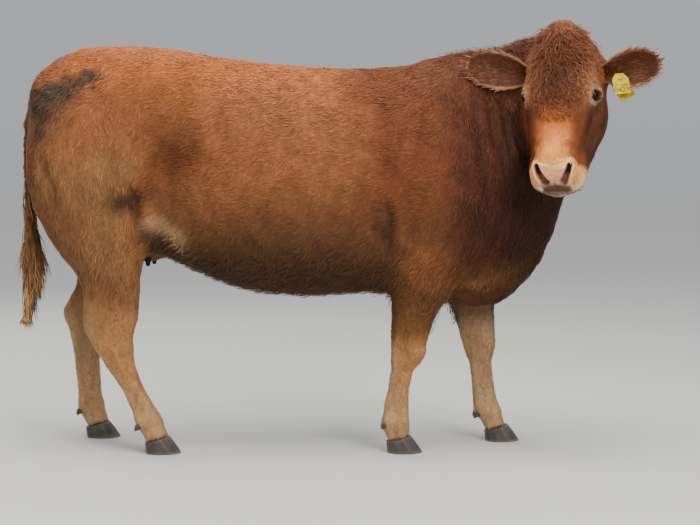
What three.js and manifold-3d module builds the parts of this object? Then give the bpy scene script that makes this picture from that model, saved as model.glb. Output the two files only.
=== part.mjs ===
// A polled red beef cow, standing, life size, with its head turned to its right.
// Millimetres, +Z up, +X towards the chest, +Y towards the cow's left side.
// The flesh is one smooth field, meshed piece by piece and parted by thin straight cuts.
// Ears, eyes, claws, dewclaws, tail, udder and ear tag are solids of their own.

import * as THREE from 'three';
import { mergeVertices } from 'three/addons/utils/BufferGeometryUtils.js';
import Module from 'manifold-3d';

const wasm = await Module();
wasm.setup();

// ---------------------------------------------------------------- driving sizes

const CUT_GAP = 0.4;                 // clearance across every thin cut
const SOCKET_GAP = 0.6;              // clearance round a piece that sits in a socket
const FINEST_EDGE = 0.06;            // edges under this left by the cuts are dropped
const DEGREE = Math.PI / 180;

const HEAD_POLL = [754, -197, 1413];           // top of the skull between the ears
const HEAD_YAW = -109 * DEGREE;                // turned to the cow's right
const HEAD_PITCH = 64 * DEGREE;                // face line below the level
const HEAD_ROLL = 3.5 * DEGREE;
const EYE_RADIUS = 21;
const EYE_PLACE = [200, 113, 34];              // along the face, to the side, above the axis
const NOSTRIL_PLACE = [488, 50, 24];
const EAR_LENGTH = 254;
const EAR_ROOT = [92, 118, -22];
const EAR_LEAN = { right: [-0.01, 0.885, 0.465], left: [0.005, 0.925, 0.375] };
const EAR_THICKNESS = 9;
const TAG_WIDTH = 56;
const TAG_HEIGHT = 78;
const TAG_AHEAD = 18;                // front flag, ahead of the ear's middle
const TAG_BEHIND = 24;               // back flag, behind it

const HOOF_TOE = 86;                 // sole, ahead of the foot's centre
const HOOF_HEEL = 42;                // sole, behind it
const HOOF_WIDTH = 53;               // one claw, from the cleft outwards
const HOOF_CLEFT = 4;                // gap between the two claws
const CORONET_HEEL = 40;             // height of the hoof's top edge at the heel
const CORONET_RISE = 22 / 86;        // slope of that edge towards the toe

const COAT = 0x8c4526;
const COAT_DARK = 0x6b3420;
const COAT_LIGHT = 0xb07a4e;
const HORN_GREY = 0x3b3732;
const NOSE_PINK = 0xb98a78;
const EYE_DARK = 0x17110d;
const TAG_YELLOW = 0xe0bd1e;

// ---------------------------------------------------------------- fields
// A field is a function of x, y, z: below zero inside, above zero outside.

// Rows of numbers, read at any place between the first numbers of the rows.
function eased(rows) {
  const width = rows[0].length;
  const slopes = rows.map((row, i) => row.map((value, k) => {
    if (k === 0 || i === 0 || i === rows.length - 1) return 0;
    const before = (value - rows[i - 1][k]) / (row[0] - rows[i - 1][0]);
    const after = (rows[i + 1][k] - value) / (rows[i + 1][0] - row[0]);
    return before * after > 0 ? 2 * before * after / (before + after) : 0;
  }));
  return (place) => {
    let i = 0;
    while (i < rows.length - 2 && place > rows[i + 1][0]) i++;
    const step = rows[i + 1][0] - rows[i][0];
    const u = Math.min(Math.max((place - rows[i][0]) / step, 0), 1);
    const out = [];
    for (let k = 1; k < width; k++) {
      const a = rows[i][k], b = rows[i + 1][k];
      const rise = u * u * (3 - 2 * u);
      const leave = u * (1 - u) * (1 - u) * slopes[i][k] * step;
      const arrive = u * u * (u - 1) * slopes[i + 1][k] * step;
      out.push(a + (b - a) * rise + leave + arrive);
    }
    return out;
  };
}

function sectionReach(over, aside, rise, drop, side, square) {
  const first = Math.pow(Math.abs(over) / (over > 0 ? rise : drop), square);
  const second = Math.pow(Math.abs(aside) / side, square);
  return Math.pow(first + second, 1 / square);
}

// A body given by its sections across one straight axis, with domed ends. A row holds
// the place on the axis, the section's centre (over, aside), its reach over, under and
// aside, and how square it is. Along x a section's "over" is z, and along z it is x.
function column(axis, rows, domeLow, domeHigh) {
  const ordered = [...rows].sort((a, b) => a[0] - b[0]);
  const read = eased(ordered);
  const low = ordered[0][0], high = ordered[ordered.length - 1][0];
  return (x, y, z) => {
    const place = axis === 'x' ? x : z;
    const held = Math.min(Math.max(place, low), high);
    const [over, aside, rise, drop, side, square] = read(held);
    const dOver = (axis === 'x' ? z : x) - over;
    const dAside = y - aside;
    const past = place - held;
    const section = sectionReach(dOver, dAside, rise, drop, side, square);
    const reach = Math.hypot(section, past / (past < 0 ? domeLow : domeHigh));
    if (reach < 1e-6) return -Math.min(rise, drop, side);
    return Math.hypot(dOver, dAside, past) * (1 - 1 / reach);
  };
}

// A tube along a curve. A row holds a point of the curve and the reach over, under and
// to the side of it. The side direction stays level.
function tube(rows, domeStart, domeEnd) {
  const curve = new THREE.CatmullRomCurve3(rows.map((r) => new THREE.Vector3(r[0], r[1], r[2])));
  const read = eased(rows.map((r, i) => [i, r[3], r[4], r[5]]));
  const steps = (rows.length - 1) * 10;
  const spine = [];
  for (let i = 0; i <= steps; i++) {
    const along = curve.getPoint(i / steps), ahead = curve.getTangent(i / steps);
    const side = new THREE.Vector3(-ahead.y, ahead.x, 0).normalize();
    const up = new THREE.Vector3().crossVectors(ahead, side);
    spine.push({ along, ahead, side, up, reach: read(i / 10) });
  }
  const point = new THREE.Vector3(), edge = new THREE.Vector3(), off = new THREE.Vector3();
  return (x, y, z) => {
    point.set(x, y, z);
    let best = Infinity, at = 0, share = 0;
    for (let i = 0; i < steps; i++) {
      edge.subVectors(spine[i + 1].along, spine[i].along);
      off.subVectors(point, spine[i].along);
      const u = Math.min(Math.max(off.dot(edge) / edge.lengthSq(), 0), 1);
      const away = off.addScaledVector(edge, -u).lengthSq();
      if (away < best) {
        best = away;
        at = i;
        share = u;
      }
    }
    const a = spine[at], b = spine[at + 1];
    const rise = a.reach[0] + (b.reach[0] - a.reach[0]) * share;
    const drop = a.reach[1] + (b.reach[1] - a.reach[1]) * share;
    const side = a.reach[2] + (b.reach[2] - a.reach[2]) * share;
    off.lerpVectors(a.along, b.along, share);
    off.subVectors(point, off);
    const ahead = off.dot(a.ahead) * (1 - share) + off.dot(b.ahead) * share;
    const aside = off.dot(a.side) * (1 - share) + off.dot(b.side) * share;
    const over = off.dot(a.up) * (1 - share) + off.dot(b.up) * share;
    const section = sectionReach(over, aside, rise, drop, side, 2);
    const dome = at === 0 && share === 0 ? domeStart : domeEnd;
    const reach = Math.hypot(section, ahead / dome);
    if (reach < 1e-6) return -Math.min(rise, drop, side);
    return off.length() * (1 - 1 / reach);
  };
}

// An egg-shaped mass at a centre, with three radii, tipped about y and then turned about z.
function mass(centre, radii, tip = 0, turn = 0) {
  const back = new THREE.Matrix4().makeRotationFromEuler(
    new THREE.Euler(0, tip * DEGREE, turn * DEGREE, 'ZYX')).invert();
  const p = new THREE.Vector3();
  return (x, y, z) => {
    p.set(x - centre[0], y - centre[1], z - centre[2]).applyMatrix4(back);
    const reach = Math.hypot(p.x / radii[0], p.y / radii[1], p.z / radii[2]);
    const steep = Math.hypot(p.x / radii[0] ** 2, p.y / radii[1] ** 2, p.z / radii[2] ** 2);
    return steep < 1e-9 ? -Math.min(...radii) : reach * (reach - 1) / steep;
  };
}

// Fields joined with a soft crease, whose width is blend.
function melted(blend, ...fields) {
  return (x, y, z) => fields.reduce((so, field) => {
    const next = field(x, y, z);
    const near = Math.max(blend - Math.abs(so - next), 0) / blend;
    return Math.min(so, next) - near * near * blend / 4;
  }, 1e6);
}

// A field with soft dents pressed into it.
function dented(blend, field, ...dents) {
  return (x, y, z) => dents.reduce((so, dent) => {
    const cut = -dent(x, y, z);
    const near = Math.max(blend - Math.abs(so - cut), 0) / blend;
    return Math.max(so, cut) + near * near * blend / 4;
  }, field(x, y, z));
}

function placed(field, matrix) {
  const back = matrix.clone().invert(), p = new THREE.Vector3();
  return (x, y, z) => {
    p.set(x, y, z).applyMatrix4(back);
    return field(p.x, p.y, p.z);
  };
}

// ---------------------------------------------------------------- meshes and solids

function solid(vertices, triangles) {
  return new wasm.Manifold(new wasm.Mesh({
    numProp: 3,
    vertProperties: Float32Array.from(vertices),
    triVerts: Uint32Array.from(triangles),
  }));
}

function solidOf(geometry) {
  const bare = geometry.clone();
  bare.deleteAttribute('normal');
  bare.deleteAttribute('uv');
  const merged = mergeVertices(bare, 1e-4);
  return solid(merged.attributes.position.array, merged.index.array);
}

function geometryOf(body) {
  const mesh = body.getMesh();
  const geometry = new THREE.BufferGeometry();
  geometry.setAttribute('position', new THREE.BufferAttribute(mesh.vertProperties, 3));
  geometry.setIndex(new THREE.BufferAttribute(mesh.triVerts, 1));
  geometry.computeVertexNormals();
  return geometry;
}

// The same solid, swollen along its corner normals by a clearance.
function swollen(body, clearance) {
  const geometry = geometryOf(body);
  const { position, normal } = geometry.attributes;
  const out = [];
  for (let i = 0; i < position.count; i++) {
    out.push(position.getX(i) + normal.getX(i) * clearance,
      position.getY(i) + normal.getY(i) * clearance,
      position.getZ(i) + normal.getZ(i) * clearance);
  }
  return solid(out, geometry.index.array);
}

function block(low, high) {
  const size = high.map((h, i) => h - low[i]);
  const box = new THREE.BoxGeometry(...size);
  box.translate(...low.map((l, i) => l + size[i] / 2));
  return solidOf(box);
}

// One lofted solid from rings of points that all have the same count.
function loft(rings) {
  const count = rings[0].length;
  const vertices = rings.flat(2);
  const triangles = [];
  for (let r = 0; r < rings.length - 1; r++) {
    for (let i = 0; i < count; i++) {
      const a = r * count + i, b = r * count + (i + 1) % count;
      triangles.push(a, b, b + count, a, b + count, a + count);
    }
  }
  const last = (rings.length - 1) * count;
  for (let i = 1; i < count - 1; i++) {
    triangles.push(0, i + 1, i, last, last + i, last + i + 1);
  }
  const body = solid(vertices, triangles);
  return body.volume() > 0 ? body : solid(vertices, triangles.reverse());
}

// Along each axis of the grid, the four cells that share an edge of it, in turn round it.
const AXES = [[1, 0, 0], [0, 1, 0], [0, 0, 1]];
const ROUND_EDGE = [
  [[0, 1, 1], [0, 0, 1], [0, 0, 0], [0, 1, 0]],
  [[1, 0, 1], [1, 0, 0], [0, 0, 0], [0, 0, 1]],
  [[1, 1, 0], [0, 1, 0], [0, 0, 0], [1, 0, 0]],
];

// The surface of a field inside a box of cells: one corner per crossed cell, pulled onto
// the surface and evened out. The box may lie in a frame of its own.
function netted(field, low, high, cell, frame = new THREE.Matrix4()) {
  const count = low.map((l, i) => Math.ceil((high[i] - l) / cell[i]) + 1);
  const index = (i, j, k) => (k * count[1] + j) * count[0] + i;
  const values = new Float64Array(count[0] * count[1] * count[2]);
  const p = new THREE.Vector3();
  const corner = (i, j, k) => p.set(
    low[0] + i * cell[0], low[1] + j * cell[1], low[2] + k * cell[2]).applyMatrix4(frame);
  for (let k = 0; k < count[2]; k++) {
    for (let j = 0; j < count[1]; j++) {
      for (let i = 0; i < count[0]; i++) {
        corner(i, j, k);
        const rim = [i, j, k].some((v, axis) => v === 0 || v === count[axis] - 1);
        values[index(i, j, k)] = rim ? cell[0] : field(p.x, p.y, p.z) || 1e-6;
      }
    }
  }

  const vertices = [], loose = [], vertexAt = new Map();
  for (let k = 0; k < count[2] - 1; k++) {
    for (let j = 0; j < count[1] - 1; j++) {
      for (let i = 0; i < count[0] - 1; i++) {
        const sum = new THREE.Vector3();
        let crossings = 0;
        for (let e = 0; e < 12; e++) {
          const axis = e >> 2, s = e & 1, t = (e >> 1) & 1;
          const from = axis === 0 ? [i, j + s, k + t] : axis === 1 ? [i + s, j, k + t] : [i + s, j + t, k];
          const to = [...from];
          to[axis]++;
          const a = values[index(...from)], b = values[index(...to)];
          if (a < 0 === b < 0) continue;
          const start = corner(...from).clone();
          sum.add(start.lerp(corner(...to), a / (a - b)));
          crossings++;
        }
        if (!crossings) continue;
        vertexAt.set(index(i, j, k), vertices.length);
        vertices.push(sum.divideScalar(crossings));
        const inner = [i, j, k].every((v, axis) => v > 0 && v < count[axis] - 2);
        loose.push(inner);
      }
    }
  }

  const triangles = [];
  const quad = (a, b, c, d, flip) => {
    const short = vertices[a].distanceToSquared(vertices[c]) < vertices[b].distanceToSquared(vertices[d]);
    const pair = short ? [a, b, c, a, c, d] : [a, b, d, b, c, d];
    triangles.push(...(flip ? pair.reverse() : pair));
  };
  const cells = (i, j, k, axis) => ROUND_EDGE[axis]
    .map(([di, dj, dk]) => vertexAt.get(index(i - di, j - dj, k - dk)));
  for (let k = 1; k < count[2] - 1; k++) {
    for (let j = 1; j < count[1] - 1; j++) {
      for (let i = 1; i < count[0] - 1; i++) {
        const here = values[index(i, j, k)] < 0;
        AXES.forEach(([di, dj, dk], axis) => {
          if (here !== values[index(i + di, j + dj, k + dk)] < 0) quad(...cells(i, j, k, axis), !here);
        });
      }
    }
  }
  // Edges between a rim node and its inner neighbour on the low sides of the box.
  for (let k = 0; k < count[2] - 1; k++) {
    for (let j = 0; j < count[1] - 1; j++) {
      for (let i = 0; i < count[0] - 1; i++) {
        const onRim = [i, j, k].map((v) => v === 0);
        if (onRim.filter(Boolean).length !== 1) continue;
        const axis = onRim.indexOf(true);
        const [di, dj, dk] = AXES[axis];
        if (values[index(i + di, j + dj, k + dk)] < 0) quad(...cells(i, j, k, axis), true);
      }
    }
  }

  const near = vertices.map(() => new Set());
  for (let t = 0; t < triangles.length; t += 3) {
    for (let e = 0; e < 3; e++) {
      near[triangles[t + e]].add(triangles[t + (e + 1) % 3]);
      near[triangles[t + (e + 1) % 3]].add(triangles[t + e]);
    }
  }
  const pull = (v) => {
    const h = 1.5;
    for (let n = 0; n < 2; n++) {
      const f = field(v.x, v.y, v.z);
      const g = new THREE.Vector3(
        field(v.x + h, v.y, v.z) - field(v.x - h, v.y, v.z),
        field(v.x, v.y + h, v.z) - field(v.x, v.y - h, v.z),
        field(v.x, v.y, v.z + h) - field(v.x, v.y, v.z - h)).divideScalar(2 * h);
      const shift = THREE.MathUtils.clamp(f / Math.max(g.lengthSq(), 0.1), -cell[0] / 3, cell[0] / 3);
      v.addScaledVector(g, -shift);
    }
  };
  for (let pass = 0; pass < 3; pass++) {
    const middles = near.map((ring) => {
      const sum = new THREE.Vector3();
      ring.forEach((n) => sum.add(vertices[n]));
      return sum.divideScalar(ring.size);
    });
    vertices.forEach((v, i) => {
      if (!loose[i]) return;
      if (pass) v.lerp(middles[i], 0.45);
      pull(v);
    });
  }
  return solid(vertices.flatMap((v) => [v.x, v.y, v.z]), triangles);
}

// ---------------------------------------------------------------- trunk and neck
// Trunk rows: x, centre z, centre y, reach up, down and aside, squareness.

const TRUNK = column('x', [
  [-1060, 1180, 0, 200, 220, 172, 2.1],
  [-900, 1150, 0, 288, 330, 250, 2.4],
  [-750, 1130, 0, 308, 400, 272, 2.8],
  [-600, 1080, 0, 345, 418, 290, 2.8],
  [-450, 1010, 0, 388, 410, 312, 2.6],
  [-300, 960, 0, 420, 398, 335, 2.4],
  [-120, 940, 0, 424, 388, 345, 2.3],
  [60, 940, 0, 421, 378, 326, 2.2],
  [240, 950, 0, 424, 398, 285, 2.1],
  [400, 960, 0, 434, 436, 255, 2.0],
  [540, 920, 0, 400, 385, 220, 2.0],
  [630, 880, 0, 280, 205, 155, 2.0],
], 90, 84);

const NECK = tube([
  [400, 0, 1130, 270, 420, 200],
  [520, -5, 1120, 290, 400, 182],
  [615, -32, 1150, 280, 290, 158],
  [690, -78, 1212, 230, 215, 138],
  [738, -122, 1280, 170, 165, 120],
  [752, -155, 1325, 120, 130, 106],
], 90, 60);

const CREST = tube([
  [300, 0, 1305, 80, 80, 90],
  [420, 0, 1328, 80, 80, 84],
  [540, -15, 1350, 82, 82, 78],
  [640, -55, 1370, 82, 82, 76],
  [735, -140, 1382, 74, 74, 76],
], 70, 60);

const DEWLAP = tube([
  [690, -95, 1010, 36, 42, 42],
  [704, -45, 900, 36, 42, 40],
  [692, -8, 795, 38, 44, 42],
  [615, 0, 655, 42, 46, 50],
  [490, 0, 570, 46, 46, 60],
], 40, 60);

const sides = [-1, 1];
const pair = (centre, radii, tip, turn) => sides.map((s) => mass(
  [centre[0], s * centre[1], centre[2]], radii, tip, s * turn));

const SHOULDER = pair([345, 165, 1010], [180, 118, 330], -14, 0);
const UPPER_ARM = pair([300, 185, 850], [160, 98, 150], 20, 0);
const HOOK = pair([-650, 205, 1332], [100, 56, 54], 0, 0);
const PIN = pair([-1052, 112, 1298], [60, 50, 62], 0, 0);
const ROUND = pair([-945, 165, 1010], [190, 128, 245], 0, 0);
const BRISKET = mass([500, 0, 650], [118, 118, 116], 25, 0);
const SACRUM = mass([-965, 0, 1378], [105, 58, 62], -8, 0);
const FLANK_HOLLOW = pair([-690, 330, 905], [70, 56, 110], 0, 0);
const LOIN_HOLLOW = pair([-500, 372, 1230], [150, 80, 90], 0, 0);
const TAIL_HOLLOW = pair([-1040, 66, 1438], [90, 28, 50], -30, 8);
const ELBOW_HOLLOW = pair([105, 352, 800], [60, 60, 150], 15, 0);
const NECK_HOLLOW = pair([560, 275, 1120], [80, 75, 240], 18, 0);

// ---------------------------------------------------------------- legs
// Leg rows: z, centre x, centre y, reach forwards, backwards and aside, squareness.

const footRows = (x, y) => [[56, x - 1, y, 46, 46, 52, 2.3], [24, x - 1, y, 46, 46, 53, 2.3]];

const LEGS = [
  {
    name: 'fore_right', foot: [173, -150], fetlock: [163, 112], fore: true,
    rows: [
      [880, 290, -168, 165, 150, 92, 2], [770, 285, -168, 150, 145, 88, 2],
      [700, 272, -162, 128, 128, 80, 2], [567, 250, -154, 101, 103, 66, 2],
      [464, 220, -151, 78, 80, 55, 2], [400, 210, -150, 68, 70, 50, 2.2],
      [340, 201, -150, 62, 58, 51, 2.4], [277, 181, -150, 43, 45, 39, 2.2],
      [225, 174, -150, 40, 42, 34, 2.2], [155, 165, -150, 46, 50, 40, 2.2],
      [114, 163, -150, 46, 50, 46, 2.2], [82, 167, -150, 43, 44, 47, 2.2],
    ],
  },
  {
    name: 'fore_left', foot: [540, 98], fetlock: [507, 112], fore: true,
    rows: [
      [860, 320, 165, 150, 150, 92, 2], [760, 345, 152, 135, 140, 86, 2],
      [640, 402, 132, 106, 110, 74, 2], [498, 447, 112, 82, 82, 57, 2],
      [400, 465, 102, 70, 71, 50, 2.2], [345, 474, 100, 62, 58, 51, 2.4],
      [290, 480, 99, 46, 48, 40, 2.2], [235, 486, 98, 41, 43, 34, 2.2],
      [165, 497, 98, 45, 48, 40, 2.2], [112, 507, 98, 47, 50, 46, 2.2],
      [80, 524, 98, 44, 44, 47, 2.2],
    ],
  },
  {
    name: 'hind_right', foot: [-679, -165], fetlock: [-704, 108], fore: false,
    rows: [
      [1000, -905, -160, 200, 205, 125, 2], [855, -895, -172, 205, 205, 118, 2],
      [792, -882, -174, 192, 192, 110, 2], [733, -871, -172, 171, 171, 100, 2],
      [684, -862, -170, 144, 144, 90, 2], [648, -850, -168, 116, 118, 82, 2],
      [600, -838, -166, 103, 105, 72, 2], [540, -835, -165, 98, 102, 60, 2],
      [490, -839, -165, 96, 104, 54, 2], [440, -843, -165, 88, 96, 52, 2.2],
      [385, -834, -165, 76, 78, 50, 2.2], [317, -808, -165, 55, 58, 43, 2.2],
      [222, -762, -165, 43, 45, 37, 2.2], [155, -725, -165, 45, 47, 40, 2.2],
      [108, -704, -165, 46, 49, 47, 2.2], [78, -691, -165, 44, 44, 48, 2.2],
    ],
  },
  {
    name: 'hind_left', foot: [-940, 175], fetlock: [-963, 112], fore: false,
    rows: [
      [1000, -920, 160, 200, 200, 125, 2], [855, -920, 172, 200, 190, 118, 2],
      [733, -900, 172, 165, 170, 100, 2], [660, -896, 170, 128, 128, 84, 2],
      [600, -908, 169, 102, 104, 70, 2], [540, -938, 170, 90, 92, 58, 2],
      [478, -972, 172, 86, 96, 54, 2], [420, -977, 174, 74, 78, 50, 2.2],
      [340, -977, 175, 54, 56, 43, 2.2], [265, -975, 175, 45, 48, 37, 2.2],
      [180, -970, 175, 45, 47, 40, 2.2], [112, -963, 175, 47, 50, 47, 2.2],
      [80, -950, 175, 44, 44, 48, 2.2],
    ],
  },
];
LEGS.forEach((leg) => {
  leg.field = column('z', [...leg.rows, ...footRows(...leg.foot)], 20, 90);
});

// ---------------------------------------------------------------- head
// Head rows, in the head's own frame: distance from the poll towards the muzzle, centre
// above the axis, centre aside, reach over, under and aside, squareness.

const HEAD_FRAME = new THREE.Matrix4().makeTranslation(...HEAD_POLL)
  .multiply(new THREE.Matrix4().makeRotationZ(HEAD_YAW))
  .multiply(new THREE.Matrix4().makeRotationY(HEAD_PITCH))
  .multiply(new THREE.Matrix4().makeRotationX(HEAD_ROLL));

const SKULL = column('x', [
  [0, -12, 0, 84, 96, 104, 2.2],
  [60, -15, 0, 100, 128, 120, 2.3],
  [130, -15, 0, 104, 158, 126, 2.4],
  [200, -12, 0, 98, 170, 126, 2.4],
  [262, -10, 0, 86, 150, 118, 2.4],
  [330, -8, 0, 74, 122, 104, 2.3],
  [395, -6, 0, 66, 98, 88, 2.2],
  [432, -5, 0, 62, 90, 84, 2.2],
  [465, -9, 0, 53, 86, 82, 2.4],
  [490, -17, 0, 40, 76, 80, 2.6],
], 70, 27);

const HEAD = placed(dented(30,
  melted(42, SKULL,
    mass([12, 0, 42], [112, 93, 74]),
    ...pair([198, 112, 26], [50, 32, 40], 0, 0),
    ...pair([215, 92, -85], [92, 46, 80], 0, 0),
    ...pair([262, 86, -128], [70, 26, 34], -20, 0),
    ...pair([352, 62, -84], [84, 42, 40], -10, 0),
    ...pair([78, 108, -38], [52, 38, 42], 0, 0),
    ...pair([470, 54, 12], [36, 32, 36], 0, 0),
    ...pair([446, 62, -40], [50, 38, 34], 0, 0),
    mass([468, 0, -82], [50, 56, 36])),
  ...pair([300, 136, -10], [90, 30, 40], 0, 0)), HEAD_FRAME);

const NECK_FLESH = dented(60, melted(70, NECK, CREST), ...NECK_HOLLOW);
const HEAD_AND_NECK = melted(60, NECK_FLESH, HEAD);

const FLESH = melted(60,
  melted(80,
    dented(70,
      melted(80, TRUNK, SACRUM, ...HOOK, ...PIN, BRISKET, ...ROUND, ...SHOULDER, ...UPPER_ARM),
      ...FLANK_HOLLOW, ...LOIN_HOLLOW, ...TAIL_HOLLOW, ...ELBOW_HOLLOW),
    NECK_FLESH,
    DEWLAP),
  ...LEGS.map((leg) => leg.field),
  HEAD);

// ---------------------------------------------------------------- parting cuts
// A cut is a plane: its normal points to the side that is kept.

function cutThrough(a, b, c, keep) {
  const plane = new THREE.Plane().setFromCoplanarPoints(
    new THREE.Vector3(...a), new THREE.Vector3(...b), new THREE.Vector3(...c));
  if (plane.distanceToPoint(new THREE.Vector3(...keep)) < 0) plane.negate();
  return plane;
}

// Keeps a body on the plane's side, moved by a margin (positive takes more away).
function kept(body, plane, margin = 0) {
  return body.trimByPlane(plane.normal.toArray(), margin - plane.constant);
}

function across(body, plane, margin = 0) {
  return body.trimByPlane(plane.normal.clone().negate().toArray(), margin + plane.constant);
}

const headPoint = (x, y, z) => new THREE.Vector3(x, y, z).applyMatrix4(HEAD_FRAME).toArray();

const NECK_CUT = cutThrough([430, 0, 1420], [700, 0, 800], [430, 100, 1420], [900, 0, 1400]);
const HEAD_CUT = cutThrough(headPoint(20, 0, -62), headPoint(190, 0, -192), headPoint(20, 50, -62),
  headPoint(200, 0, 0));
const THROAT_CUT = cutThrough(headPoint(190, 0, -192), headPoint(480, 0, -128), headPoint(190, 50, -192),
  headPoint(200, 0, 0));
const JAW_SIDES = sides.map((s) => cutThrough(headPoint(190, s * 152, -70), headPoint(330, s * 134, -70),
  headPoint(190, s * 120, -192), headPoint(200, 0, 0)));
const MUZZLE_CUT = cutThrough(headPoint(392, 0, 40), headPoint(404, 0, -60), headPoint(392, 50, 40),
  headPoint(600, 0, 0));
const JAW_CUT = cutThrough(headPoint(505, 0, -50), headPoint(262, 0, -96), headPoint(505, 50, -50),
  headPoint(400, 0, -300));
const JAW_BACK_CUT = cutThrough(headPoint(252, 0, -60), headPoint(288, 0, -160), headPoint(252, 50, -60),
  headPoint(500, 0, -100));

const LEG_CUTS = {
  fore_right: {
    low: [118, -420, -20],
    high: [445, -12, 830],
    top: [[133, -270, 790], [430, -240, 690], [280, -50, 545]],
  },
  fore_left: {
    low: [212, 12, -20],
    high: [720, 420, 830],
    top: [[170, 270, 790], [470, 240, 690], [360, 50, 540]],
  },
  hind_right: {
    low: [-1260, -420, -20],
    high: [-600, -1, 1010],
    top: [[-680, -250, 768], [-1140, -200, 958], [-900, -10, 687]],
  },
  hind_left: {
    low: [-1260, 1, -20],
    high: [-600, 420, 1010],
    top: [[-700, 250, 770], [-1150, 200, 960], [-920, 10, 690]],
  },
};
const JOINT_HEIGHT = { fore_right: 372, fore_left: 376, hind_right: 520, hind_left: 560 };

LEGS.forEach((leg) => {
  const { low, high, top } = LEG_CUTS[leg.name];
  leg.topCut = cutThrough(...top, [leg.foot[0], leg.foot[1], 0]);
  leg.region = kept(block(low, high), leg.topCut);
  const wider = CUT_GAP;
  leg.taken = kept(block(low.map((v) => v - wider), high.map((v) => v + wider)), leg.topCut, -wider);
});

// ---------------------------------------------------------------- flesh nodes

const nodes = [];

function add(name, body, colour, roughness = 0.85) {
  nodes.push({ name, body, colour, roughness });
}

function largest(body) {
  const pieces = body.decompose();
  return pieces.reduce((a, b) => (b.volume() > a.volume() ? b : a));
}

const headSpace = (margin) => [HEAD_CUT, THROAT_CUT, ...JAW_SIDES].reduce(
  (space, plane) => kept(space, plane, -margin),
  block([-170 - margin, -156 - margin, -250 - margin], [560 + margin, 156 + margin, 190 + margin])
    .transform(HEAD_FRAME.elements));
const headRegion = headSpace(0);
const headTaken = headSpace(CUT_GAP);

let trunk = netted(FLESH, [-1300, -462, 430], [800, 466, 1520], [110, 92, 84]);
trunk = across(trunk, NECK_CUT, CUT_GAP / 2);
LEGS.forEach((leg) => {
  trunk = trunk.subtract(leg.taken);
});

let neck = netted(FLESH, [350, -400, 690], [960, 330, 1560], [62, 58, 58]);
neck = kept(neck, NECK_CUT, CUT_GAP / 2).subtract(headTaken);

const headNet = netted(HEAD_AND_NECK, [-172, -216, -262], [545, 216, 172], [39, 39, 39], HEAD_FRAME);
let head = headNet.intersect(headRegion);
const lowerJaw = kept(kept(head, JAW_CUT, CUT_GAP / 2), JAW_BACK_CUT, CUT_GAP / 2);
const jawSpace = kept(kept(headTaken, JAW_CUT, -CUT_GAP / 2), JAW_BACK_CUT, -CUT_GAP / 2);
head = head.subtract(jawSpace);
let muzzle = kept(head, MUZZLE_CUT, CUT_GAP / 2);
head = across(head, MUZZLE_CUT, CUT_GAP / 2);

// Claws: two to a foot, each lofted from its flat sole to the sloping coronet.
const CLAW_SIDES = 10;
const CLAW_SQUARE = 0.8;
const CLAW_TAPER = 0.45;
function claw(side) {
  const rings = [0, 0.5, 1].map((t) => {
    const back = -HOOF_HEEL - 4 * t, front = HOOF_TOE - 46 * t;
    const wide = HOOF_WIDTH - 3 * t;
    const ring = [];
    for (let i = 0; i < CLAW_SIDES; i++) {
      const a = i / CLAW_SIDES * 2 * Math.PI;
      const along = Math.sign(Math.cos(a)) * Math.abs(Math.cos(a)) ** CLAW_SQUARE;
      const x = (back + front) / 2 + (front - back) / 2 * along;
      const bulge = Math.sin(a) > 0 ? Math.sin(a) ** CLAW_SQUARE : 0;
      const toe = Math.max(0, (x - front * 0.45) / (front * 0.55));
      const inner = Math.sin(a) < 0 ? wide * 0.1 : 0;
      const y = HOOF_CLEFT / 2 + wide * (0.1 + 0.9 * bulge) * (1 - CLAW_TAPER * toe * toe) - inner;
      const top = CORONET_HEEL + (x + HOOF_HEEL + 4) * CORONET_RISE;
      ring.push([x, side * y, t * top]);
    }
    return ring;
  });
  return loft(rings);
}

function dewclaw(side) {
  const rings = [[0, 15], [14, 12], [28, 4]].map(([out, radius]) => {
    const ring = [];
    for (let i = 0; i < 7; i++) {
      const a = i / 7 * 2 * Math.PI;
      ring.push([radius * Math.cos(a), radius * Math.sin(a) * 1.1, out - 8]);
    }
    return ring;
  });
  const shape = loft(rings);
  const lean = new THREE.Matrix4().makeRotationY(-140 * DEGREE);
  return shape.transform(lean.elements).translate([0, side * 25, 0]);
}

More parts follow.
